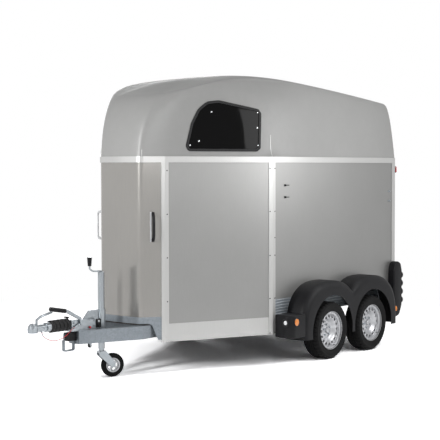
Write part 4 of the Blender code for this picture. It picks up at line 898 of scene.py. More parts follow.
@dataclass
class Studio:
    """A pale floor, a white surround, soft lamps, and the camera at the photograph's place."""

    camera_place: Place = (7.73928, -9.23453, 1.94506)
    azimuth: float = 39.20323
    pitch: float = 2.5388
    roll: float = -0.08814
    lens: float = 96.497
    sensor: float = 36.0
    floor_size: float = 400.0
    floor_fade: Flat = (2.6, 6.0)
    surround: float = 0.34
    zenith: float = 0.40
    lamps: tuple[tuple[str, Place, Place, Flat, float], ...] = (
        ("left_lamp", (3.1, 1.15, 2.3), (0.9, 0.5, 1.6), (2.6, 1.2), 66.0),
        ("front_lamp", (-0.1, -5.0, 2.9), (0.1, -1.2, 1.9), (0.45, 1.6), 185.0),
        ("nose_lamp", (3.9, -2.5, 3.0), (0.3, -1.15, 1.9), (0.35, 1.2), 44.0),
        ("top_lamp", (2.6, 4.0, 10.4), (0.3, 0.6, 0.0), (6.0, 6.0), 280.0),
        ("back_lamp", (-6.0, 5.0, 3.2), (0.0, 1.0, 1.5), (3.0, 3.0), 150.0),
    )

    def build(self) -> None:
        """Builds the floor, the surround, the lamps and the camera."""
        self.build_floor()
        self.build_surround()
        for name, place, aim, size, power in self.lamps:
            lamp = bpy.data.lights.new(name, "AREA")
            lamp.shape = "RECTANGLE"
            lamp.size, lamp.size_y = size
            lamp.energy = power
            item = bpy.data.objects.new(name, lamp)
            item.location = place
            item.rotation_euler = (Vector(aim) - Vector(place)).to_track_quat("-Z", "Y").to_euler()
            bpy.context.scene.collection.objects.link(item)
        self.build_camera()
        bpy.context.scene.view_settings.view_transform = "Standard"

    def build_floor(self) -> None:
        """Adds the floor: it shows white to the camera, and keeps the trailer's shadow."""
        Bench.clear()
        bpy.ops.mesh.primitive_plane_add(size=self.floor_size)
        floor = Bench.named("studio_floor")
        paint = bpy.data.materials.new("white_floor_paint")
        paint.use_nodes = True
        tree = paint.node_tree
        tree.nodes.remove(tree.nodes["Principled BSDF"])
        plain = add_node(tree, "ShaderNodeBsdfDiffuse", {"Color": (0.7, 0.7, 0.7, 1.0)}, {})
        path = add_node(tree, "ShaderNodeLightPath", {}, {})
        tone = add_node(tree, "ShaderNodeMix", {"data_type": "RGBA", 6: (1.4, 1.4, 1.4, 1.0),
                                                7: (1.8, 1.8, 1.82, 1.0)}, {0: path.outputs["Is Camera Ray"]})
        near = add_node(tree, "ShaderNodeBsdfDiffuse", {}, {"Color": tone.outputs[2]})
        far = add_node(tree, "ShaderNodeEmission", {"Color": WHITE, "Strength": 1.0}, {})
        spot = add_node(tree, "ShaderNodeTexCoord", {}, {})
        reach = add_node(tree, "ShaderNodeVectorMath", {"operation": "LENGTH"}, {0: spot.outputs["Object"]})
        start, end = self.floor_fade
        fade = add_node(tree, "ShaderNodeMapRange", {"interpolation_type": "SMOOTHSTEP", "From Min": start,
                                                     "From Max": end}, {"Value": reach.outputs["Value"]})
        shown = add_node(tree, "ShaderNodeMixShader", {}, {0: fade.outputs["Result"], 1: near.outputs[0],
                                                           2: far.outputs[0]})
        both = add_node(tree, "ShaderNodeMixShader", {}, {0: self.seen(tree), 1: plain.outputs[0],
                                                          2: shown.outputs[0]})
        tree.links.new(both.outputs[0], tree.nodes["Material Output"].inputs["Surface"])
        floor.data.materials.append(paint)

    def seen(self, tree: bpy.types.NodeTree) -> bpy.types.NodeSocket:
        """Adds a test for rays that show a surface: from the camera, a gloss or a glass.

        Args:
            tree: the nodes of a material or the world.

        Returns:
            A socket that gives 1 for such a ray, and 0 for any other.
        """
        path = add_node(tree, "ShaderNodeLightPath", {}, {})
        first = add_node(tree, "ShaderNodeMath", {"operation": "MAXIMUM"},
                         {0: path.outputs["Is Camera Ray"], 1: path.outputs["Is Glossy Ray"]})
        both = add_node(tree, "ShaderNodeMath", {"operation": "MAXIMUM"},
                        {0: first.outputs[0], 1: path.outputs["Is Transmission Ray"]})
        return both.outputs[0]

    def build_surround(self) -> None:
        """Sets the world: white where it is seen, dimmer overhead in a gloss, and softer where it lights."""
        world = bpy.data.worlds.new("white_surround")
        world.use_nodes = True
        tree = world.node_tree
        plain = tree.nodes["Background"]
        plain.inputs["Color"].default_value = WHITE
        plain.inputs["Strength"].default_value = self.surround
        path = add_node(tree, "ShaderNodeLightPath", {}, {})
        way = add_node(tree, "ShaderNodeTexCoord", {}, {})
        height = add_node(tree, "ShaderNodeSeparateXYZ", {}, {"Vector": way.outputs["Generated"]})
        dim = add_node(tree, "ShaderNodeMapRange", {"From Min": 0.05, "From Max": 0.8, "To Min": 1.0,
                                                    "To Max": self.zenith}, {"Value": height.outputs["Z"]})
        level = add_node(tree, "ShaderNodeMath", {"operation": "MAXIMUM"},
                         {0: dim.outputs["Result"], 1: path.outputs["Is Camera Ray"]})
        shown = add_node(tree, "ShaderNodeBackground", {"Color": WHITE}, {"Strength": level.outputs[0]})
        both = add_node(tree, "ShaderNodeMixShader", {}, {0: self.seen(tree), 1: plain.outputs[0],
                                                          2: shown.outputs[0]})
        tree.links.new(both.outputs[0], tree.nodes["World Output"].inputs["Surface"])
        bpy.context.scene.world = world

    def build_camera(self) -> None:
        """Adds the camera at the place solved from the photograph."""
        lens = bpy.data.cameras.new("photo_camera")
        lens.lens = self.lens
        lens.sensor_width = self.sensor
        lens.clip_end = 500.0
        camera = bpy.data.objects.new("photo_camera", lens)
        a, e, r = (math.radians(v) for v in (self.azimuth, self.pitch, self.roll))
        back = Vector((math.sin(a) * math.cos(e), -math.cos(a) * math.cos(e), math.sin(e)))
        level = Vector((math.cos(a), math.sin(a), 0.0))
        upright = back.cross(level)
        right = level * math.cos(r) + upright * math.sin(r)
        up = back.cross(right)
        turn = Matrix((right, up, back)).transposed().to_4x4()
        camera.matrix_world = Matrix.Translation(self.camera_place) @ turn
        bpy.context.scene.collection.objects.link(camera)
        bpy.context.scene.camera = camera


@dataclass
class Cable:
    """The breakaway cable, which hangs from an eye under the coupling's neck to the handbrake's tail."""

    radius: float = 0.0028
    ferrule: float = 0.0044
    leaving: tuple[Place, ...] = ((0.02173, -2.2475, 0.49912), (0.02925, -2.2475, 0.48499),
                                  (0.03394, -2.2475, 0.47616))
    hanging: tuple[Place, ...] = ((0.04294, -2.21418, 0.446), (0.05194, -2.15421, 0.424),
                                  (0.05894, -2.08092, 0.423), (0.06194, -1.99763, 0.449))
    arriving: tuple[Place, ...] = ((0.062, -1.91434, 0.5061), (0.062, -1.90501, 0.50969),
                                   (0.062, -1.89008, 0.51543))

    def build(self) -> None:
        """Builds the cable, and a crimped ferrule at each end."""
        route = smooth_route([*self.leaving, *self.hanging, *self.arriving], 5 * self.radius)
        piece = Bench.pipe("breakaway_cable_sleeve", route, self.radius, 3)
        Bench.dress(piece, CABLE_SLEEVE, "red_cable_coat", 50.0, replaces=["breakaway_cable"])
        ends = ((route[1], route[2]), (route[-2], route[-3]))
        ferrules = Bench.weld([Bench.post("ferrule", start, end, self.ferrule, 16, 0.0006) for start, end in ends],
                              "cable_ferrules")
        Bench.dress(ferrules, ZINC, "zinc_plate", 45.0)


@dataclass
class Hood:
    """The one-piece polyester hood, with a window in each tapered side."""

    wall: float = 0.010
    pane_wall: float = 0.004
    pane_sunk: float = 0.002
    pane_gap: float = 0.0005
    seal_wall: float = 0.018
    seal_proud: float = 0.005
    seal_half: float = 0.012
    highlight_strip_radius: float = 0.0035
    base: float = 2.0516
    foot: float = 2.0476
    wall_rows: tuple[float, ...] = (0.0, 0.28, 0.52, 0.72, 0.87, 0.96, 1.0)
    roof_rows: tuple[float, ...] = (0.45, 1.0)
    studs: tuple[Flat, ...] = ((0.484, 2.475), (0.985, 2.478), (0.976, 2.331), (0.350, 2.198), (0.258, 2.157),
                               (0.985, 2.161))
    stations: tuple[tuple[float, ...], ...] = (
        (0.0, -1.2545, 0.0, -0.9615, 2.6596, 1.9, -0.4115, 2.8146),
        (0.13, -1.2485, 0.13, -0.9565, 2.6596, 1.9, -0.3215, 2.8296),
        (0.221, -1.2389, 0.235, -0.9369, 2.6626, 1.9, -0.2319, 2.8446),
        (0.2511, -1.2297, 0.3101, -0.8917, 2.6676, 1.95, -0.1417, 2.8566),
        (0.2741, -1.2082, 0.3801, -0.8462, 2.6796, 2.0, -0.0612, 2.8666),
        (0.39, -1.0365, 0.5, -0.7715, 2.7046, 2.0, 0.0285, 2.8746),
        (0.5487, -0.6956, 0.6097, -0.5116, 2.7846, 2.2, 0.1384, 2.8816),
        (0.7171, -0.3341, 0.6901, -0.2411, 2.8316, 2.5, 0.2589, 2.8856),
        (0.871, -0.0035, 0.775, 0.1585, 2.8316, 2.7, 0.4585, 2.8856),
        (0.871, 0.6388, 0.775, 0.6588, 2.8016, 3.4, 0.7888, 2.8656),
        (0.871, 1.327, 0.768, 1.308, 2.7516, 3.6, 1.328, 2.8156),
        (0.871, 1.9005, 0.762, 1.8485, 2.7016, 3.6, 1.8485, 2.7596),
        (0.871, 2.2905, 0.758, 2.1605, 2.6716, 3.6, 2.1605, 2.7256),
    )
    window: tuple[Flat, ...] = ((0.245, 2.112), (0.965, 2.112), (1.000, 2.135), (1.012, 2.470),
                                (0.985, 2.500), (0.560, 2.575), (0.440, 2.560), (0.350, 2.490),
                                (0.280, 2.360), (0.225, 2.150))
    window_radii: tuple[float, ...] = (0.03, 0.02, 0.02, 0.02, 0.02, 0.12, 0.12, 0.12, 0.12, 0.03)

    def column(self, station: tuple[float, ...]) -> list[Place]:
        """Draws one column of the cage, from the band up over the shoulder to the ridge.

        Args:
            station: the column's foot, its shoulder, how square its rise is, and its ridge.

        Returns:
            The column's points, from the foot up.
        """
        x, y, top_x, top_y, top_z, square, ridge_y, ridge_z = station
        column = []
        for rise in self.wall_rows:
            inward = 1.0 - (1.0 - rise ** square) ** (1.0 / square)
            lean = inward if y < BODY_REAR - 0.001 else rise
            column.append((x + (top_x - x) * inward, y + (top_y - y) * lean,
                           self.foot + (top_z - self.foot) * rise))
        for share in self.roof_rows:
            column.append((top_x * (1.0 - share), top_y + (ridge_y - top_y) * share,
                           top_z + (ridge_z - top_z) * (1 - (1 - share) ** 2)))
        return column

    def skin(self) -> Piece:
        """Models the hood's outside: half a grid drawn to the stations, mirrored and subdivided.

        Returns:
            The skin.
        """
        columns = [self.column(station) for station in self.stations]
        across, up = len(columns) - 1, len(columns[0]) - 1
        piece = Bench.grid("hood_skin", across, up)
        for vertex in piece.data.vertices:
            i, j = round((vertex.co.x + 0.5) * across), round((vertex.co.y + 0.5) * up)
            vertex.co = columns[i][j]
        Bench.edit(piece, "EDGE")
        shape = bmesh.from_edit_mesh(piece.data)
        sharp = shape.edges.layers.float.new("crease_edge")
        corner = shape.verts.layers.float.new("crease_vert")
        for edge in shape.edges:
            if all(v.co.z < self.foot + 1e-4 for v in edge.verts):
                edge[sharp] = edge.verts[0][corner] = edge.verts[1][corner] = 1.0
        bmesh.update_edit_mesh(piece.data)
        Bench.done()
        mirror = piece.modifiers.new("mirror", "MIRROR")
        mirror.merge_threshold = TOLERANCE
        smooth = piece.modifiers.new("smooth", "SUBSURF")
        smooth.levels = smooth.render_levels = 3
        return Bench.apply(piece)

    def shell(self, skin: Piece, name: str, wall: float, proud: float,
              side: int = 0) -> Piece:
        """Copies the skin and gives it a wall.

        Args:
            skin: the hood's outside.
            name: the piece's name.
            wall: how thick the wall is.
            proud: how far it stands out of the skin.
            side: 0 for the whole hood, or the side of the window to keep the skin round.

        Returns:
            The shell.
        """
        piece = Bench.copy(skin, name)
        if side:
            back = taper_frame(side).inverted()
            Bench.edit(piece)
            Bench.pick(piece, lambda at, way: not (0.1 < (back @ at).x < 1.12 and abs((back @ at).z) < 0.4
                                                   and at.x * side > 0 and at.z < 2.68))
            bpy.ops.mesh.delete(type="FACE")
            Bench.done()
        return Bench.thicken(piece, wall, 2.0 * proud / wall - 1.0, even=True)

    def grown(self, distance: float) -> list[Flat]:
        """Rounds the window's outline and makes it larger or smaller all round.

        Args:
            distance: how much larger, or smaller below 0.

        Returns:
            The outline.
        """
        outline = rounded(list(self.window), list(self.window_radii), 4)
        made: list[Flat] = []
        for i, here in enumerate(outline):
            before, after = outline[i - 1], outline[(i + 1) % len(outline)]
            way = Vector((after[0] - before[0], after[1] - before[1])).normalized()
            made.append((here[0] + way.y * distance, here[1] - way.x * distance))
        return made

    def fasten(self, pane: Piece, side_name: str, side: int) -> None:
        """Sets the bright fasteners on a pane, each square to its surface.

        Args:
            pane: the pane.
            side_name: left or right.
            side: 1 for left, -1 for right.
        """
        frame_of = taper_frame(side)
        inwards = -(frame_of.to_3x3() @ Vector((0.0, 0.0, 1.0)))
        studs = []
        for i, (u, z) in enumerate(self.studs):
            hit, spot, way, _ = pane.ray_cast(frame_of @ Vector((u, z, 0.4)), inwards)
            if hit:
                place = looking(tuple(spot), tuple(way))
                studs.append(Bench.dome(f"stud_{side_name}_{i}", 0.0085, 0.005, place, 20))
        Bench.dress(Bench.weld(studs, f"window_fasteners_{side_name}"), BRIGHT, "zinc_plate", 50.0)

    def paint_corner_highlights(self, hood: Piece) -> None:
        """Lays a thin bright strip up the hood's foot at each front and middle corner, a painted highlight where
        the hood's folds catch the light.

        Args:
            hood: the hood's shell.
        """
        # Painted highlight: the bright strips stand for the light caught along the hood's folds at its foot.
        strips = []
        for i, (x, y, top) in enumerate(((0.2665, -1.2190, 2.112), (0.871, -0.0035, 2.262))):
            way = Vector((0.55, -0.83, 0.0)) if i == 0 else Vector((0.95, -0.32, 0.0))
            points = []
            for step in range(9):
                z = self.base + 0.002 + (top - self.base) * step / 8
                hit, spot, _, _ = hood.ray_cast(Vector((x, y, z)) + way * 0.3, -way)
                if hit:
                    points.append(tuple(spot))
            strips.append(Bench.pipe(f"strip_{i}", points, self.highlight_strip_radius, 2))
        Bench.pair(Bench.weld(strips, "strips"), "hood_corner_highlight_strips", PROFILE, "aluminium_profile", 50.0)

    def build(self) -> None:
        """Builds the hood, its two panes, their rubber seals and fasteners, and the bright corner strips that
        paint the highlights at its folds.
        """
        skin = self.skin()
        hood = self.shell(skin, "hood_shell", self.wall, 0.0)
        Bench.combine(hood, Bench.block("foot_tool", (-1.2, -2.0, self.base - 0.05), (1.2, 3.0, self.base)))
        for side_name, side in SIDES.items():
            place = taper_frame(side)
            Bench.combine(hood, Bench.plate("window_tool", self.grown(0.0), 0.4, place))
            pane = self.shell(skin, f"window_pane_{side_name}", self.pane_wall, -self.pane_sunk, side)
            Bench.combine(pane, Bench.plate("pane_tool", self.grown(-self.pane_gap), 0.38, place), "INTERSECT")
            Bench.dress(pane, SMOKED, "smoked_acrylic", replaces=[f"window_{side_name}"])
            self.fasten(pane, side_name, side)
            seal = self.shell(skin, f"window_seal_{side_name}", self.seal_wall, self.seal_proud, side)
            Bench.combine(seal, Bench.plate("seal_tool", self.grown(self.seal_half), 0.38, place), "INTERSECT")
            Bench.combine(seal, Bench.plate("seal_tool", self.grown(-self.seal_half), 0.42, place))
            Bench.dress(seal, BLACK_RUBBER, "black_rubber")
        Bench.dress(hood, GELCOAT, "polyester_shell", 40.0, replaces=["hood"])
        self.paint_corner_highlights(hood)
        Bench.drop(skin)


@dataclass
class Wheels:
    """Four steel disc wheels with treaded tyres."""

    tyre_radius: float = 0.2914
    steps: int = 120
    vents: int = 16
    vent_radius: float = 0.0150
    vent_circle: float = 0.1405
    nuts: int = 5
    nut_circle: float = 0.056
    grooves: tuple[float, ...] = (-0.036, -0.012, 0.012, 0.036)
    groove_half: Flat = (0.003, 0.0042)
    groove_depth: float = 0.0065
    sipe_edge: float = 0.0022
    sipe_depth: float = 0.0045

    def tyre(self) -> Piece:
        """Models the tyre: its section spun, and sipes pressed into the shoulders.

        Returns:
            The tyre, lying on the XY plane.
        """
        r = self.tyre_radius
        wall = [(0.1835, 0.070), (0.1862, 0.0768), (0.1925, 0.0805), (0.2010, 0.0838), (0.2065, 0.0868),
                (0.2090, 0.0862), (0.2250, 0.0905), (0.2400, 0.0925), (0.2560, 0.0920), (0.2600, 0.0932),
                (0.2640, 0.0912), (0.2740, 0.0865), (0.2835, 0.0795), (r - 0.0028, 0.0700), (r, 0.0580)]
        crown: list[Flat] = []
        floor, (narrow, wide) = r - self.groove_depth, self.groove_half
        for middle in reversed(self.grooves):
            crown += [(r, middle + wide), (floor, middle + narrow), (floor, middle - narrow), (r, middle - wide)]
        section = wall + crown + [(a, -b) for a, b in reversed(wall)]
        tyre = Bench.lathe("tyre_master", section, self.steps)
        Bench.edit(tyre)
        step = TURN / self.steps

        def sipe(at: Vector, way: Vector) -> bool:
            """Every third column of the shoulder's faces."""
            column = int(math.atan2(at.y, at.x) % TURN / step)
            return column % 3 == 0 and 0.042 < abs(at.z) < 0.0845 and math.hypot(at.x, at.y) > 0.276

        Bench.pick(tyre, sipe)
        bpy.ops.mesh.inset(thickness=self.sipe_edge, depth=-self.sipe_depth, use_individual=False)
        Bench.done()
        return Bench.coat(Bench.smooth(tyre, 35.0), TYRE)

    def rim(self) -> Piece:
        """Models the rim: a spun section with vent holes, a hub cap, nuts, a valve, and behind the vents a black
        ring that is painted shade.

        Returns:
            The rim, lying on the XY plane.
        """
        front = [(0.0, 0.0400), (0.018, 0.0395), (0.0255, 0.0365), (0.0290, 0.0310), (0.0300, 0.0180),
                 (0.0330, 0.0160), (0.0480, 0.0165), (0.0660, 0.0150), (0.0800, 0.0110), (0.0880, 0.0120),
                 (0.0970, 0.0190), (0.1080, 0.0330), (0.1180, 0.0450), (0.1260, 0.0510), (0.1340, 0.0530),
                 (0.1480, 0.0500), (0.1580, 0.0440), (0.1630, 0.0430), (0.1660, 0.0470), (0.1665, 0.0560),
                 (0.1690, 0.0600), (0.1800, 0.0650), (0.1860, 0.0690), (0.1875, 0.0770), (0.1895, 0.0806),
                 (0.1925, 0.0812), (0.1955, 0.0780), (0.1940, 0.0745), (0.1810, 0.0735)]
        back = [(0.1810, -0.0735), (0.1955, -0.0780), (0.1895, -0.0860), (0.1680, -0.0660),
                (0.1600, 0.0300), (0.1480, 0.0380), (0.1340, 0.0410), (0.1240, 0.0370), (0.1100, 0.0240),
                (0.1000, 0.0060), (0.1000, -0.1370), (0.0205, -0.1370), (0.0205, 0.0100), (0.0, 0.0100)]
        rim = Bench.lathe("rim_master", front + back, 96)
        vent = Bench.post("vent_tool", (self.vent_circle, 0, -0.05), (self.vent_circle, 0, 0.08),
                          self.vent_radius, 20)
        turns = [Matrix.Rotation(TURN * i / self.vents, 4, "Z") for i in range(self.vents)]
        Bench.combine(rim, Bench.repeat(vent, "vent_tools", turns))
        Bench.coat(Bench.smooth(rim, 32.0), WHEEL_PAINT)
        nut = Bench.post("nut", (self.nut_circle, 0, 0.012), (self.nut_circle, 0, 0.031), 0.0105, 6, 0.003)
        turns = [Matrix.Rotation(TURN * (i + 0.25) / self.nuts, 4, "Z") for i in range(self.nuts)]
        nuts = Bench.coat(Bench.repeat(nut, "nuts", turns), ZINC)
        valve = Bench.post("valve", (0.1715, 0, 0.050), (0.1665, 0, 0.078), 0.004, 16, 0.001)
        Bench.coat(valve, BLACK_RUBBER)
        # Painted shade: a black ring just behind the vent holes, so that they read as dark holes.
        vent_shade = Bench.lathe("painted_vent_shade", [(0.1030, 0.0), (0.1520, 0.0), (0.1520, 0.0060), (0.1030, 0.0060)], 72)
        Bench.coat(vent_shade, BLACK_RUBBER)
        return Bench.weld([rim, nuts, valve, vent_shade], "rim_master")

    def build(self) -> None:
        """Builds the four wheels from one tyre and one rim."""
        tyre, rim = self.tyre(), self.rim()
        number = 0
        for side_name, side in SIDES.items():
            for place_name, y in WHEEL_YS.items():
                number += 1
                turned = Matrix.Rotation(math.radians(23.0 * number), 4, "Z")
                place = Matrix.Translation((side * WHEEL_X, y, WHEEL_Z)) @ Matrix.Rotation(
                    side * math.pi / 2, 4, "Y") @ turned
                body = f"wheel_{place_name}_{side_name}"
                copy = Bench.copy(tyre, f"tyre_tread_{place_name}_{side_name}", place)
                Bench.fit(copy, body, "tyre_rubber", [f"tyre_{place_name}_{side_name}"])
                copy = Bench.copy(rim, f"disc_wheel_{place_name}_{side_name}", place)
                Bench.fit(copy, body, "wheel_silver", [f"rim_{place_name}_{side_name}"])
        Bench.drop(tyre, rim)


@dataclass
class Mudguards:
    """The double mudguards: one moulding over both wheels, with a lamp box in front."""

    inner: float = 0.8713
    outer: float = 1.100
    wall: float = 0.005
    reach: float = 0.505
    rise: float = 0.503
    square: float = 2.6
    edge: float = 0.070
    opening: float = 0.362
    foot: float = 0.240
    box_low: float = 0.280
    box_high: float = 0.506
    box_edge: float = 0.012

    def outline(self, grow: float, steps: int = 48) -> list[Flat]:
        """Draws both arches as one outline of (y, z).

        Args:
            grow: how much larger than the moulding, or smaller below 0.
            steps: how many steps an arch takes.

        Returns:
            The outline, anticlockwise.
        """
        reach, rise = self.reach + grow, self.rise + grow
        centre = (WHEEL_YS["front"] + WHEEL_YS["rear"]) / 2
        meet = centre - WHEEL_YS["front"]
        ahead: list[Flat] = []
        for step in range(steps + 1):
            turn = math.pi * step / steps
            c, s = math.cos(turn), math.sin(turn)
            y = -math.copysign(abs(c) ** (2 / self.square), c) * reach
            if y < meet - 0.02:
                ahead.append((WHEEL_YS["front"] + y, WHEEL_Z + s ** (2 / self.square) * rise))
        ahead.insert(0, (ahead[0][0], 0.05))
        valley = (1 - (meet / reach) ** self.square) ** (1 / self.square) * rise
        behind = [(2 * centre - y, z) for y, z in ahead]
        return behind + [(centre, WHEEL_Z + valley)] + ahead[::-1]

    def arches(self, name: str, grow: float, inner: float, outer: float, edge: float) -> Piece:
        """Models the solid under both arches, rounded along its outer edge.

        Args:
            name: the piece's name.
            grow: how much larger than the moulding, or smaller below 0.
            inner: its inner side's x.
            outer: its outer side's x.
            edge: the radius of its edge.

        Returns:
            The piece.
        """
        piece = Bench.plate(name, self.outline(grow), outer - inner, facing_x((inner + outer) / 2))
        Bench.bevel(piece, lambda at, way: abs(at.x - outer) < TOLERANCE and abs(way.x) < 0.5, edge, 7)
        return piece

    def build(self) -> None:
        """Builds the left mudguard, and mirrors it for the right."""
        guard = self.arches("mudguard_moulding", 0.0, self.inner, self.outer, self.edge)
        back = WHEEL_YS["front"] - self.reach + 0.030
        side = self.outer - 0.012
        plan = rounded([(self.inner, 0.0405), (side, 0.0005), (side, back), (self.inner, back)],
                       [0.0, 0.075, 0.0, 0.0], 12)
        box = Bench.plate("lamp_box", plan, self.box_high - self.box_low,
                          Matrix.Translation((0, 0, (self.box_high + self.box_low) / 2)))
        Bench.bevel(box, lambda at, way: abs(way.z) < 0.5 and at.x > self.inner + 0.002 and at.y < back - 0.002,
                    self.box_edge, 3)
        Bench.combine(guard, box, "UNION")
        hollow = self.arches("hollow_tool", -self.wall, self.inner - 0.05, self.outer - self.wall,
                             self.edge - self.wall)
        Bench.combine(guard, hollow)
        for y in WHEEL_YS.values():
            Bench.combine(guard, Bench.post("opening_tool", (self.outer - 0.06, y, WHEEL_Z),
                                            (self.outer + 0.05, y, WHEEL_Z), self.opening, 96))
        front, rear = WHEEL_YS["front"], WHEEL_YS["rear"]
        Bench.combine(guard, Bench.block("foot_tool", (-1.3, front - 0.7, -0.1), (1.3, rear + 0.7, self.foot)))
        Bench.pair(guard, "mudguard_moulding", BLACK_PLASTIC, "black_plastic", 35.0, "mudguard")


def touch(node: str, start: Place, way: Place) -> Matrix:
    """Finds where a ray meets a carried solid, so that a fitting sits on it.

    Args:
        node: the solid's name.
        start: where the ray starts, clear of the solid.
        way: the ray's direction.

    Returns:
        A matrix that carries a piece's local Z to the surface's own normal at that place.
    """
    hit, spot, normal, _ = frame["nodes"][node].ray_cast(Vector(start), Vector(way).normalized())
    if not hit:
        raise ValueError(f"nothing of {node} lies on the ray")
    return looking(tuple(spot), tuple(normal))


def lens(name: str, half: Flat, depth: float, place: Matrix) -> Piece:
    """Models an oval lens with a rounded rim, its flat back on the local XY plane.

    Args:
        name: the piece's name.
        half: half its length and half its width.
        depth: how thick it is.
        place: carries the lens to its place.

    Returns:
        The piece.
    """
    outline = [(half[0] * math.cos(t), half[1] * math.sin(t)) for t in (math.pi * i / 20 for i in range(40))]
    piece = Bench.plate(name, outline, depth, Matrix.Translation((0, 0, depth / 2)))
    Bench.bevel(piece, lambda at, way: at.z > depth * 0.99 and abs(way.z) < 0.5, depth * 0.6, 4)
    piece.data.transform(place)
    return piece


@dataclass
class BodyTrim:
    """Small fittings on the sides: screw caps, the bars' keys and bolts, marker lamps and rail ribs."""

    proud: float = 0.005
    front_caps: tuple[float, ...] = (0.6925, 1.1035, 1.511, 1.919)
    mid_caps: tuple[float, ...] = (0.328, 0.668, 1.089, 1.519, 1.938)
    key_places: tuple[Flat, ...] = ((0.2035, 1.771), (0.2035, 1.653))
    bolt_places: tuple[Flat, ...] = ((2.1765, 1.679), (2.1765, 1.573))
    rib_heights: tuple[float, ...] = (0.503, 0.531, 0.559, 0.587, 0.615, 0.643)

    def caps(self) -> None:
        """Sets the black caps over the screws of the front and middle posts."""
        wall = taper_frame(1)
        places = [wall @ Matrix.Translation((0.02, z, self.proud)) for z in self.front_caps]
        places += [wall @ Matrix.Translation((1.1095, z, self.proud)) for z in self.mid_caps]
        places += [looking((HALF_WIDTH + self.proud, 0.028, z), OUTWARDS) for z in (*self.mid_caps, 1.262)]
        cap = Bench.dome("screw_cap", 0.0062, 0.003, Matrix(), 16)
        Bench.pair(Bench.repeat(cap, "post_screw_caps", places), "post_screw_caps", BLACK_PLASTIC,
                   "black_plastic")

    def keys(self) -> None:
        """Sets the black keys that hold the breast bar's pins."""
        made = []
        for y, z in self.key_places:
            edge = rounded([(y - 0.014, z - 0.012), (y + 0.018, z - 0.008), (y + 0.018, z + 0.008),
                            (y - 0.014, z + 0.012)], [0.007] * 4, 4)
            made.append(Bench.plate("key_plate", edge, 0.005, facing_x(HALF_WIDTH + 0.0025)))
            made.append(Bench.post("key_knob", (HALF_WIDTH + 0.004, y, z), (HALF_WIDTH + 0.015, y, z), 0.0085,
                                   24, 0.0025))
            made.append(Bench.block("key_tongue", (HALF_WIDTH + 0.004, y, z - 0.0045),
                                    (HALF_WIDTH + 0.009, y + 0.062, z + 0.0045), 0.0015))
        Bench.pair(Bench.weld(made, "bar_keys"), "bar_keys", BLACK_PLASTIC, "black_plastic")

    def bolts(self) -> None:
        """Sets the plated bolts of the breech bar on their backing strips."""
        made = []
        for y, z in self.bolt_places:
            made.append(Bench.hexagon("bolt", 0.009, 0.007, looking((HALF_WIDTH + 0.003, y, z), OUTWARDS)))
            made.append(Bench.block("strip", (HALF_WIDTH, y - 0.03, z - 0.005),
                                    (HALF_WIDTH + 0.003, y + 0.03, z + 0.005), 0.001))
        Bench.pair(Bench.weld(made, "bar_bolts"), "bar_bolts", ZINC, "zinc_plate")

    def markers(self) -> None:
        """Sets a red marker lamp on the back of each rear post, over a small reflector."""
        base = Bench.block("base", (0.822, 2.2955, 1.886), (0.880, 2.3025, 1.959), 0.002)
        Bench.pair(base, "marker_lamp_bases", BLACK_PLASTIC, "black_plastic")
        glass = Bench.block("glass", (0.8255, 2.3005, 1.8895), (0.8845, 2.3215, 1.9555), 0.007, 4)
        dot = Bench.dome("reflector", 0.011, 0.005, looking((0.856, 2.2955, 1.862), REARWARDS), 24)
        Bench.pair(Bench.weld([glass, dot], "marker_lamp_lenses"), "marker_lamp_lenses", RED, "black_plastic")

    def rail_ribs(self) -> None:
        """Lays the rolled ribs along the galvanised floor rail, under the side panel."""
        ribs = [Bench.block("rib", (0.8655, 0.0388, z - 0.006), (0.8705, 2.2302, z + 0.006), 0.0022, 3)
                for z in self.rib_heights]
        Bench.pair(Bench.weld(ribs, "floor_rail_ribs"), "floor_rail_ribs", ZINC, "galvanised_steel")

    def build(self) -> None:
        """Sets every small fitting on both sides."""
        self.rail_ribs()
        self.caps()
        self.keys()
        self.bolts()
        self.markers()


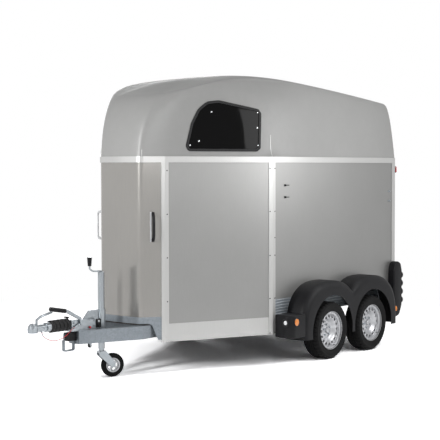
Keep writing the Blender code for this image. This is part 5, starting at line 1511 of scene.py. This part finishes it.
@dataclass
class GrabHandles:
    """The two grab handles beside the nose: a black bow on the left, a grey slotted grip on the right."""

    wall: Flat = (0.3252, -1.1325)
    along: Flat = (0.559, 0.829)
    low: float = 1.255
    high: float = 1.536
    reach: float = 0.042
    depth: float = 0.055
    bar: float = 0.012

    def stand(self, side: int) -> Matrix:
        """Carries (across, z, outwards) to the wall of one side.

        Args:
            side: 1 for the left wall, -1 for the right one.

        Returns:
            The matrix.
        """
        a, b = self.along
        made = Matrix(((a, 0, b, self.wall[0]), (b, 0, -a, self.wall[1]), (0, 1, 0, 0), (0, 0, 0, 1)))
        return made if side > 0 else MIRROR @ made

    def bow(self) -> None:
        """Models the black bow, its feet and the light plate beside it."""
        stand = self.stand(1)
        low, high = self.low, self.high
        route = smooth_route([(0, low + 0.012, 0.0), (0, low + 0.022, 0.022), (0, low + 0.06, self.reach),
                              (0, (low + high) / 2, self.reach + 0.002), (0, high - 0.06, self.reach),
                              (0, high - 0.022, 0.022), (0, high - 0.012, 0.0)], 0.009)
        grip = Bench.pipe("grab_bow", [tuple(stand @ Vector(p)) for p in route], 0.0115, 6)
        feet = []
        for z in (low + 0.02, high - 0.02):
            edge = oblong((-0.014, z - 0.02), (0.014, z + 0.02), 0.012)
            feet.append(Bench.plate("foot", edge, 0.008, stand @ Matrix.Translation((0, 0, 0.004))))
        grip = Bench.weld([grip, *feet], "grab_handle_bow")
        Bench.dress(grip, BLACK_PLASTIC, "black_plastic", 45.0, replaces=["grab_handle_left"])
        edge = oblong((-0.029, low), (-0.013, high), 0.007)
        plate = Bench.plate("grab_handle_plate", edge, 0.003, stand @ Matrix.Translation((0, 0, 0.0015)))
        Bench.dress(plate, GREY_NYLON, "aluminium_profile")

    def slotted(self) -> None:
        """Models the grey grip on the right: a slotted oval ring that stands out of the wall, on two feet."""
        wall = self.stand(-1)
        stand = wall @ Matrix(((0, 0, 1, 0), (0, 1, 0, 0), (1, 0, 0, 0), (0, 0, 0, 1)))
        low, high, depth, bar = self.low, self.high, self.depth, self.bar
        edge = rounded([(0.0, low), (depth, low), (depth, high), (0.0, high)], [0.004, 0.046, 0.046, 0.004], 8)
        slot = rounded([(bar, low + 2 * bar), (depth - bar, low + 2 * bar), (depth - bar, high - 2 * bar),
                        (bar, high - 2 * bar)], [0.004, 0.024, 0.024, 0.004], 6)
        grip = Bench.plate("slotted_grip", edge, 0.018, stand)
        Bench.combine(grip, Bench.plate("slot_tool", slot, 0.05, stand))
        soften = grip.modifiers.new("soften", "BEVEL")
        soften.width, soften.segments = 0.004, 3
        Bench.apply(grip)
        feet = []
        for z in (low + 0.02, high - 0.02):
            edge = oblong((-0.015, z - 0.018), (0.015, z + 0.018), 0.012)
            feet.append(Bench.plate("foot", edge, 0.006, wall @ Matrix.Translation((0, 0, 0.003))))
        grip = Bench.weld([grip, *feet], "grab_handle_slotted")
        Bench.dress(grip, GREY_NYLON, "aluminium_profile", 45.0, replaces=["grab_handle_right"])

    def build(self) -> None:
        """Builds both handles."""
        self.bow()
        self.slotted()


@dataclass
class Lamps:
    """The tail lamp pods, and the lamps and reflectors on them and on the mudguards' lamp boxes."""

    front: Place = (1.017, 0.0135, 0.434)
    front_way: Place = (-0.1815, -0.9834, 0.0)
    side: Place = (1.088, 0.100, 0.438)
    corner: Place = (0.9490, 2.205, 0.367)
    corner_way: Place = (1.0, -0.25, 0.0)
    tail_x: float = 0.906
    tail_y: float = 2.3742
    pod_back: float = 2.336
    pod_sides: Flat = (0.8225, 0.9515)
    pod_edge: tuple[Flat, ...] = ((2.1660, 0.300), (2.215, 0.268), (2.290, 0.290), (2.340, 0.400),
                                  (2.340, 0.790), (2.315, 0.870), (2.265, 0.895), (2.200, 0.880),
                                  (2.1660, 0.800))
    pod_radii: tuple[float, ...] = (0.02, 0.05, 0.05, 0.06, 0.06, 0.05, 0.06, 0.06, 0.03)
    tails: tuple[tuple[float, str], ...] = ((0.455, "clear"), (0.549, "red"), (0.642, "amber"), (0.735, "red"))

    def build(self) -> None:
        """Sets the front position lamps, the side reflectors and the tail lamps."""
        place = looking(self.front, self.front_way)
        bezel = Bench.lathe("bezel", [(0.0265, 0.0), (0.0425, 0.0), (0.0420, 0.005), (0.0385, 0.009),
                                      (0.0330, 0.0100), (0.0285, 0.0080), (0.0262, 0.0025)], 48, place)
        rim = Bench.lathe("rim", [(0.0350, 0.0), (0.0385, 0.0), (0.0385, 0.004), (0.0370, 0.0055),
                                  (0.0350, 0.004)], 48, looking(self.side, OUTWARDS))
        Bench.pair(Bench.weld([bezel, rim], "lamp_bezels"), "lamp_bezels", BLACK_RUBBER, "black_rubber")
        Bench.pair(Bench.dome("glass", 0.0215, 0.008, place, 40), "position_lamps", CLEAR, "smoked_acrylic")
        side = Bench.dome("side", 0.0350, 0.0085, looking(self.side, OUTWARDS), 48)
        oval = lens("oval", (0.030, 0.015), 0.008,
                    looking(self.corner, self.corner_way) @ Matrix.Rotation(math.pi / 2, 4, "Z"))
        Bench.pair(Bench.weld([side, oval], "side_reflectors"), "side_reflectors", AMBER, "smoked_acrylic")
        self.pods()

    def pods(self) -> None:
        """Moulds the tail lamp pods: a rounded side plate with four domed lamp housings down its back."""
        low, high = self.pod_sides
        edge = rounded(list(self.pod_edge), list(self.pod_radii), 6)
        pod = Bench.plate("pod", edge, high - low, facing_x((low + high) / 2))
        Bench.bevel(pod, lambda at, way: at.x > high - TOLERANCE and abs(way.x) < 0.5, 0.022, 5)
        housings = [Bench.dome("housing", 0.0450, 0.0440, looking((self.tail_x, self.pod_back, z), REARWARDS), 40)
                    for z, _ in self.tails]
        Bench.pair(Bench.weld([pod, *housings], "tail_lamp_pod_moulding"), "tail_lamp_pod_moulding",
                   BLACK_PLASTIC, "black_plastic", node="tail_lamp_pod")
        for kind, finish in {"clear": CLEAR, "red": RED, "amber": AMBER}.items():
            made = [Bench.dome("tail", 0.0290, 0.0060, looking((self.tail_x, self.tail_y, z), REARWARDS), 40)
                    for z, tone in self.tails if tone == kind]
            Bench.pair(Bench.weld(made, "tail"), f"tail_lamps_{kind}", finish, "smoked_acrylic")


@dataclass
class Drawbar:
    """Grips, bolts and small fittings on the drawbar."""

    grip_start: Place = (0.062, -2.0035, 0.6718)
    grip_end: Place = (0.062, -2.1840, 0.7050)
    crank_start: Place = (0.0, -1.6385, 1.046)
    crank_end: Place = (0.0, -1.6385, 1.1265)
    rib_height: float = 0.0016
    hoop_top: float = 0.3895
    hoop_front: float = -1.9365
    housing_bolts: tuple[Flat, ...] = ((-1.885, 0.505), (-1.885, 0.550), (-1.630, 0.505), (-1.630, 0.550))
    neck_bolts: tuple[Flat, ...] = ((-2.225, 0.5402), (-2.185, 0.5402))

    def ribbed(self, name: str, start: Place, end: Place, radius: float, flare: float,
               ribs: int) -> Piece:
        """Models a ribbed grip over a round bar.

        Args:
            name: the piece's name.
            start: the middle of one end.
            end: the middle of the other.
            radius: the radius at the start.
            flare: how much wider the far end is.
            ribs: how many finger ribs it has.

        Returns:
            The grip.
        """
        way = Vector(end) - Vector(start)
        rows = []
        for i in range(8 * ribs + 1):
            share = i / (8 * ribs)
            wave = self.rib_height * math.sin(TURN * ribs * share) ** 2
            rows.append((radius + flare * share + wave, way.length * share))
        return Bench.lathe(name, [(0.0, 0.0), *rows, (0.0, way.length)], 28, looking(start, tuple(way)))

    def grips(self) -> None:
        """Sets the black grips of the handbrake lever and of the jockey wheel's crank."""
        made = [self.ribbed("handbrake_grip", self.grip_start, self.grip_end, 0.0182, 0.0, 6),
                self.ribbed("crank_knob", self.crank_start, self.crank_end, 0.0158, 0.0062, 3)]
        for piece in made:
            Bench.dress(piece, BLACK_PLASTIC, "black_plastic", 50.0)

    def strips(self) -> None:
        """Lays the flat bar over the handbrake lever's arm, and the guard strap round the plug holder."""
        arm = rounded([(-1.8200, 0.5350), (-1.8350, 0.5790), (-1.9900, 0.6540), (-2.0120, 0.6580),
                       (-2.0120, 0.6900), (-1.9800, 0.6820), (-1.8130, 0.5960), (-1.8002, 0.5380)],
                      [0.008, 0.012, 0.02, 0.0, 0.0, 0.02, 0.012, 0.008], 4)
        bar = Bench.plate("handbrake_flat_bar", arm, 0.0185, facing_x(0.062))
        Bench.dress(bar, ZINC, "zinc_plate")
        loop = rounded([(-1.8525, 0.400), (-1.8525, 0.3050), (-1.9655, 0.3050), (-1.9655, 0.400),
                        (-1.9740, 0.400), (-1.9740, 0.2965), (-1.8440, 0.2965), (-1.8440, 0.400)],
                       [0.0, 0.010, 0.010, 0.0, 0.0, 0.018, 0.018, 0.0], 5)
        strap = Bench.plate("plug_guard_strap", loop, 0.030, facing_x(0.0))
        Bench.dress(strap, GALVANISED, "galvanised_steel")

    def bolts(self) -> None:
        """Sets plated bolts on both sides of the overrun housing, and on the neck."""
        made = []
        for side in SIDES.values():
            for y, z in self.housing_bolts:
                place = touch("overrun_housing", (side * 0.4, y, z), (-side, 0, 0))
                made.append(Bench.hexagon("bolt", 0.0085, 0.006, place))
        for y, z in self.neck_bolts:
            made.append(Bench.hexagon("bolt", 0.008, 0.005, touch("coupling_head", (0.4, y, z), (-1, 0, 0))))
        piece = Bench.weld(made, "drawbar_bolts")
        Bench.dress(piece, ZINC, "zinc_plate", 40.0)

    def fittings(self) -> None:
        """Sets the stop over the bellows, the clamp and its red cap, the roller and the plug's cap."""
        stop = Bench.weld([Bench.post("stem", (0.03, -1.930, 0.575), (0.03, -1.958, 0.606), 0.006, 16, 0.001),
                           Bench.post("cross", (0.004, -1.960, 0.609), (0.060, -1.960, 0.609), 0.0068, 20, 0.002)],
                          "bellows_stop")
        clamp = Bench.weld([Bench.block("strap", (0.0500, -1.612, 0.482), (0.0560, -1.550, 0.560), 0.002),
                            Bench.block("jaw", (0.0500, -1.600, 0.495), (0.0680, -1.562, 0.525), 0.004)],
                           "jockey_clamp_jaw")
        for piece in (stop, clamp):
            Bench.dress(piece, BLACK_PLASTIC, "black_plastic", 45.0)
        cap = Bench.post("red_cap", (0.049, -1.6925, 0.493), (0.064, -1.6925, 0.493), 0.0115, 24, 0.003)
        Bench.dress(cap, CABLE_SLEEVE, "red_cable_coat", 45.0)
        knob = Bench.post("clamp_handle", (0.0585, -1.581, 0.530), (0.0585, -1.581, 0.548), 0.009, 24, 0.002)
        Bench.dress(knob, GREY_NYLON, "aluminium_profile", 45.0)
        wheel = Bench.lathe("roller", [(0.004, -0.009), (0.017, -0.009), (0.020, -0.006), (0.016, 0.0),
                                       (0.020, 0.006), (0.017, 0.009), (0.004, 0.009)], 32,
                            looking((0.058, -1.70, 0.328), OUTWARDS))
        Bench.dress(wheel, BLACK_PLASTIC, "black_plastic", 40.0)
        edge = rounded([(-1.716, 0.355), (-1.706, 0.318), (-1.694, 0.318), (-1.684, 0.355)],
                       [0.0, 0.008, 0.008, 0.0], 5)
        cheeks = [Bench.plate("cheek", edge, 0.003, facing_x(x)) for x in (0.0465, 0.0695)]
        pin = Bench.post("pin", (0.043, -1.70, 0.328), (0.073, -1.70, 0.328), 0.0038, 16, 0.001)
        bracket = Bench.weld([*cheeks, pin], "roller_bracket")
        Bench.dress(bracket, ZINC, "zinc_plate", 40.0)
        plug = Bench.lathe("plug_cap", [(0.0, 0.0), (0.024, 0.0), (0.024, 0.006), (0.021, 0.009), (0.021, 0.016),
                                        (0.016, 0.019), (0.0, 0.019)], 36,
                           touch("plug_holder", (0.018, -2.3, 0.427), REARWARDS))
        Bench.dress(plug, BLACK_RUBBER, "black_rubber", 40.0)

    def build(self) -> None:
        """Sets the grips, the bolts and the small fittings, and gives the guard hoop its zinc."""
        self.grips()
        self.strips()
        self.bolts()
        self.fittings()
        Bench.coat(frame["nodes"]["plug_holder"], GALVANISED,
                   lambda at, way: at.z < self.hoop_top or at.y < self.hoop_front)


@dataclass
class JockeyWheel:
    """The jockey wheel: a rubber tyre on a silver hub with five openings."""

    place: Place = (0.047669, -1.396944, 0.111042)
    axis: Place = (0.891007, -0.45399, 0.0)
    radius: float = 0.1108
    spokes: int = 5
    opening_radii: Flat = (0.0235, 0.0465)
    opening_turns: tuple[float, ...] = (-24, -12, 0, 12, 24)

    def build(self) -> None:
        """Builds the tyre and the hub, which roll together."""
        r = self.radius
        place = looking(self.place, self.axis)
        half = [(0.066, 0.0215), (0.072, 0.0262), (0.082, 0.0278), (0.093, 0.0268), (0.1015, 0.0232),
                (0.1070, 0.0170), (r - 0.0008, 0.0090), (r, 0.0030)]
        section = half + [(a, -b) for a, b in reversed(half)]
        tyre = Bench.lathe("jockey_tyre", section, 72, place)
        Bench.dress(tyre, TYRE, "black_rubber", 40.0, body="jockey_roller", replaces=["jockey_wheel"])
        front = [(0.0085, 0.0275), (0.0150, 0.0275), (0.0170, 0.0255), (0.0180, 0.0100), (0.0480, 0.0080),
                 (0.0530, 0.0110), (0.0560, 0.0230), (0.0600, 0.0262), (0.0668, 0.0262), (0.0668, 0.0200)]
        hub = Bench.lathe("jockey_hub", front + [(a, -b) for a, b in reversed(front)], 72)
        near, far = self.opening_radii
        for i in range(self.spokes):
            turns = [math.radians(360 / self.spokes * i + t) for t in self.opening_turns]
            edge = [(near * math.cos(t), near * math.sin(t)) for t in turns[1:4]]
            edge = [(far * math.cos(t), far * math.sin(t)) for t in turns] + edge[::-1]
            edge = rounded(edge, [0.004, 0, 0, 0, 0.004, 0.003, 0, 0.003], 3)
            Bench.combine(hub, Bench.plate("opening", edge, 0.1, Matrix()))
        hub.data.transform(place)
        Bench.dress(hub, WHEEL_PAINT, "wheel_silver", 35.0, body="jockey_roller")


@dataclass
class Padding:
    """The padded bars and the partition in the load space."""

    bars: tuple[tuple[str, float, float], ...] = (("breast_bar", 0.1955, 1.656), ("breech_bar", 2.1615, 1.565))
    radius: float = 0.030
    reach: float = 0.8507
    panel_y: Flat = (0.2258, 2.1312)
    panel_z: Flat = (0.64, 1.83)
    panel_half: float = 0.018
    channel: float = 0.1323
    panel_faces: tuple[int, int] = (120, 216)
    seams: int = 8
    seam_depth: float = 0.0035

    def bar(self, node: str, y: float, z: float) -> None:
        """Builds a foam sleeve with stitched seams about 200 mm apart, between two plated end cups.

        Args:
            node: the bar that the sleeve stands for.
            y: how far back the bar is.
            z: how high it is.
        """
        sleeve, steps = self.reach - 0.035, 180
        rows = []
        for i in range(steps + 1):
            x = -sleeve + 2 * sleeve * i / steps
            seam = abs(math.cos(math.pi * (x + sleeve) / (2 * sleeve) * self.seams)) ** 40
            end = max(0.0, 1 - (sleeve - abs(x)) / 0.012) ** 2
            rows.append((self.radius - self.seam_depth * seam - 0.008 * end, x))
        piece = Bench.lathe(f"padded_{node}", [(0.0, -sleeve), *rows, (0.0, sleeve)], 40,
                            looking((0, y, z), OUTWARDS))
        Bench.dress(piece, VINYL, "black_padding", 50.0, replaces=[node])
        cups = [Bench.post("cup", (s * (sleeve - 0.004), y, z), (s * self.reach, y, z), 0.0235, 32, 0.002)
                for s in SIDES.values()]
        piece = Bench.weld(cups, f"{node}_end_cups")
        Bench.dress(piece, ZINC, "zinc_plate", 40.0)

    def partition(self) -> None:
        """Builds the partition: two crowned faces sewn into level channels, closed by a rounded edge."""
        (back, front), (low, high) = self.panel_y, self.panel_z
        piece = Bench.grid("padded_partition", *self.panel_faces)
        piece.data.transform(Matrix(((0, 0, 1, 0), (front - back, 0, 0, (back + front) / 2),
                                     (0, high - low, 0, (low + high) / 2), (0, 0, 0, 1))))
        Bench.thicken(piece, 0.02)
        for vertex in piece.data.vertices:
            at = vertex.co
            rim = min(at.y - back, front - at.y, at.z - low, high - at.z, self.panel_half)
            turn = 1.0 - max(rim, 0.0) / self.panel_half
            swell = abs(math.sin(math.pi * (at.z - low) / self.channel)) ** 0.45
            half = (0.0125 + (self.panel_half - 0.0127) * swell) * math.sqrt(max(1.0 - turn * turn, 0.01))
            at.x = math.copysign(half, at.x)
        Bench.dress(piece, VINYL, "black_padding", 60.0, replaces=["partition"])

    def build(self) -> None:
        """Builds both bars and the partition."""
        for bar in self.bars:
            self.bar(*bar)
        self.partition()


@dataclass
class Curtain:
    """The roll-up curtain over the ramp, stretched between its bottom bar and the hood's rear rim."""

    wall: float = 0.0018
    across: int = 48
    pitch: float = 0.014
    bar_low: float = 2.0333
    bar_high: float = 2.0553
    edge: tuple[Place, ...] = ((0.819, 2.28, 2.0513), (0.8487, 2.2475, 2.222), (0.8459, 2.2187, 2.372),
                               (0.8381, 2.1946, 2.497), (0.8233, 2.1765, 2.591), (0.801, 2.17, 2.625),
                               (0.736, 2.165, 2.650), (0.395, 2.158, 2.688), (0.03, 2.1549, 2.7035))

    def build(self) -> None:
        """Builds the cloth, its bottom bar, and the two straps that hold it rolled up."""
        rows = smooth_route(list(self.edge), self.pitch)
        up = len(rows) - 1
        cloth = Bench.grid("rear_curtain_cloth", self.across, up)
        for vertex in cloth.data.vertices:
            share, row = vertex.co.x * 2, round((vertex.co.y + 0.5) * up)
            x, y, z = rows[row]
            ease = math.sin(math.pi * row / up) * (1.0 - share * share)
            wave = 0.0022 * math.sin(11.0 * share) * math.sin(7.0 * z + 2.0 * share)
            vertex.co = (x * share, y - 0.004 * ease + wave * ease, z)
        Bench.thicken(cloth, self.wall)
        Bench.dress(cloth, TARPAULIN, "grey_tarpaulin", 60.0, replaces=["rear_curtain"])
        hem = Bench.block("rear_curtain_bar", (-0.8107, 2.2710, self.bar_low), (0.8107, 2.2900, self.bar_high),
                          0.004, 3)
        Bench.dress(hem, PROFILE, "aluminium_profile")
        lane = [p for p in rows if p[2] < 2.66]
        ring = [(p[1] + 0.0022, p[2]) for p in lane] + [(p[1] + 0.0052, p[2]) for p in lane[::-1]]
        straps = Bench.weld([Bench.plate("strap", ring, 0.038, facing_x(x)) for x in (-0.45, 0.45)],
                            "rear_curtain_straps")
        Bench.dress(straps, VINYL, "black_padding", 60.0)


@dataclass
class RampTrim:
    """What dresses the ramp: an edge frame, ribs and latches outside, a rubber mat with treads inside."""

    outer: float = 2.2905
    inner: float = 2.2505
    half: float = 0.797
    low: float = 0.514
    high: float = 2.016
    rib_heights: tuple[float, ...] = (0.80, 1.03, 1.26, 1.49, 1.72)
    tread_heights: tuple[float, ...] = (0.68, 0.84, 1.00, 1.16, 1.32, 1.48, 1.64, 1.80)

    def build(self) -> None:
        """Dresses both faces of the ramp; all of it swings with the ramp but the latches, which stay behind."""
        y = self.outer
        edge = Bench.block("ramp_edge_frame", (-self.half, y, self.low), (self.half, y + 0.0035, self.high), 0.001)
        Bench.combine(edge, Bench.block("tool", (-self.half + 0.045, y - 0.05, self.low + 0.05),
                                        (self.half - 0.045, y + 0.05, self.high - 0.05)))
        Bench.dress(edge, PROFILE, "aluminium_profile", body="ramp")
        ribs = [Bench.block("rib", (-self.half + 0.06, y, z - 0.009), (self.half - 0.06, y + 0.0035, z + 0.009),
                            0.003, 3) for z in self.rib_heights]
        ribs = Bench.weld(ribs, "ramp_ribs")
        Bench.dress(ribs, SIDE_SHEET, "side_sheet", 50.0, body="ramp")
        mat = [Bench.block("mat", (-0.765, self.inner - 0.004, 0.56), (0.765, self.inner, 1.985), 0.0015)]
        mat += [Bench.block("tread", (-0.70, self.inner - 0.014, z - 0.013),
                            (0.70, self.inner - 0.003, z + 0.013), 0.005, 3) for z in self.tread_heights]
        mat = Bench.weld(mat, "ramp_mat_with_treads")
        Bench.dress(mat, BLACK_RUBBER, "black_rubber", 50.0, body="ramp")
        keepers, latches = [], []
        for side in SIDES.values():
            low, high = sorted((side * 0.745, side * 0.793))
            keepers.append(Bench.block("keeper", (low, y + 0.003, 1.265), (high, y + 0.016, 1.315), 0.004, 3))
            low, high = sorted((side * 0.818, side * 0.862))
            latches.append(Bench.block("latch", (low, 2.2955, 1.235), (high, 2.3105, 1.345), 0.005, 3))
            latches.append(Bench.post("lever", (side * 0.840, 2.3105, 1.33), (side * 0.840, 2.3185, 1.20),
                                      0.007, 20, 0.002))
        keepers = Bench.weld(keepers, "ramp_latch_keepers")
        latches = Bench.weld(latches, "ramp_latches")
        Bench.dress(keepers, ZINC, "zinc_plate", 45.0, body="ramp")
        Bench.dress(latches, BLACK_PLASTIC, "black_plastic", 45.0)
        route = smooth_route([(-0.09, y, 1.90), (-0.082, y + 0.02, 1.90), (0.0, y + 0.024, 1.90),
                              (0.082, y + 0.02, 1.90), (0.09, y, 1.90)], 0.008)
        pull = Bench.pipe("ramp_pull", route, 0.008, 5)
        Bench.dress(pull, BLACK_PLASTIC, "black_plastic", 50.0, body="ramp")


@dataclass
class DoorTrim:
    """The entrance door's handle and lock, and the edge profile that frames its opening on three sides."""

    handle: Flat = (0.850, 1.190)
    edge: tuple[Flat, ...] = ((0.290, 0.556), (0.936, 0.556), (0.936, 1.924), (0.290, 1.924), (0.290, 1.908),
                              (0.918, 1.908), (0.918, 0.572), (0.290, 0.572))

    def build(self) -> None:
        """Sets the handle and lock on the leaf, and the edge profile on the wall."""
        wall = taper_frame(-1)
        out = wall.to_3x3() @ Vector((0.0, 0.0, 1.0))
        u, z = self.handle
        spot = touch("entrance_door", tuple(wall @ Vector((u, z, 0.3))), tuple(-out))
        base = Bench.block("base", (-0.022, -0.075, 0.0), (0.022, 0.075, 0.009), 0.004, 3)
        lock = Bench.post("lock", (0.0, -0.052, 0.008), (0.0, -0.052, 0.0125), 0.011, 24, 0.0015)
        route = smooth_route([(0.0, 0.062, 0.006), (0.0, 0.055, 0.030), (0.0, 0.020, 0.036),
                              (0.0, -0.012, 0.034), (0.0, -0.025, 0.010)], 0.007)
        pull = Bench.pipe("pull", route, 0.0075, 5)
        piece = Bench.weld([base, lock, pull], "door_handle")
        piece.data.transform(spot)
        Bench.dress(piece, BLACK_PLASTIC, "black_plastic", 45.0, body="door")
        edging = Bench.plate("door_edge_profile", list(self.edge), 0.004,
                             wall @ Matrix.Translation((0, 0, 0.002)))
        Bench.dress(edging, PROFILE, "aluminium_profile")


class Carried:
    """The solids that keep their shape and get a finish."""

    def build(self) -> None:
        """Gives every node the finish of its material slot."""
        slots = {part["node"]: part["material_slot"] for part in frame["record"]["subparts"]}
        for name, node in frame["nodes"].items():
            Bench.coat(node, SLOTS[slots[name]])


def main() -> None:
    """Builds the studio and each sub-assembly in order, and reports each one."""
    logging.basicConfig(level=logging.INFO, format="%(name)s: %(message)s")
    for step in (Studio(), Cable(), Carried(), Hood(), Wheels(), Mudguards(), BodyTrim(), GrabHandles(), Lamps(),
                 Drawbar(), JockeyWheel(), Padding(), Curtain(), RampTrim(), DoorTrim()):
        step.build()
        LOG.info("%s built", type(step).__name__.lower())


if __name__ == "__main__":
    main()
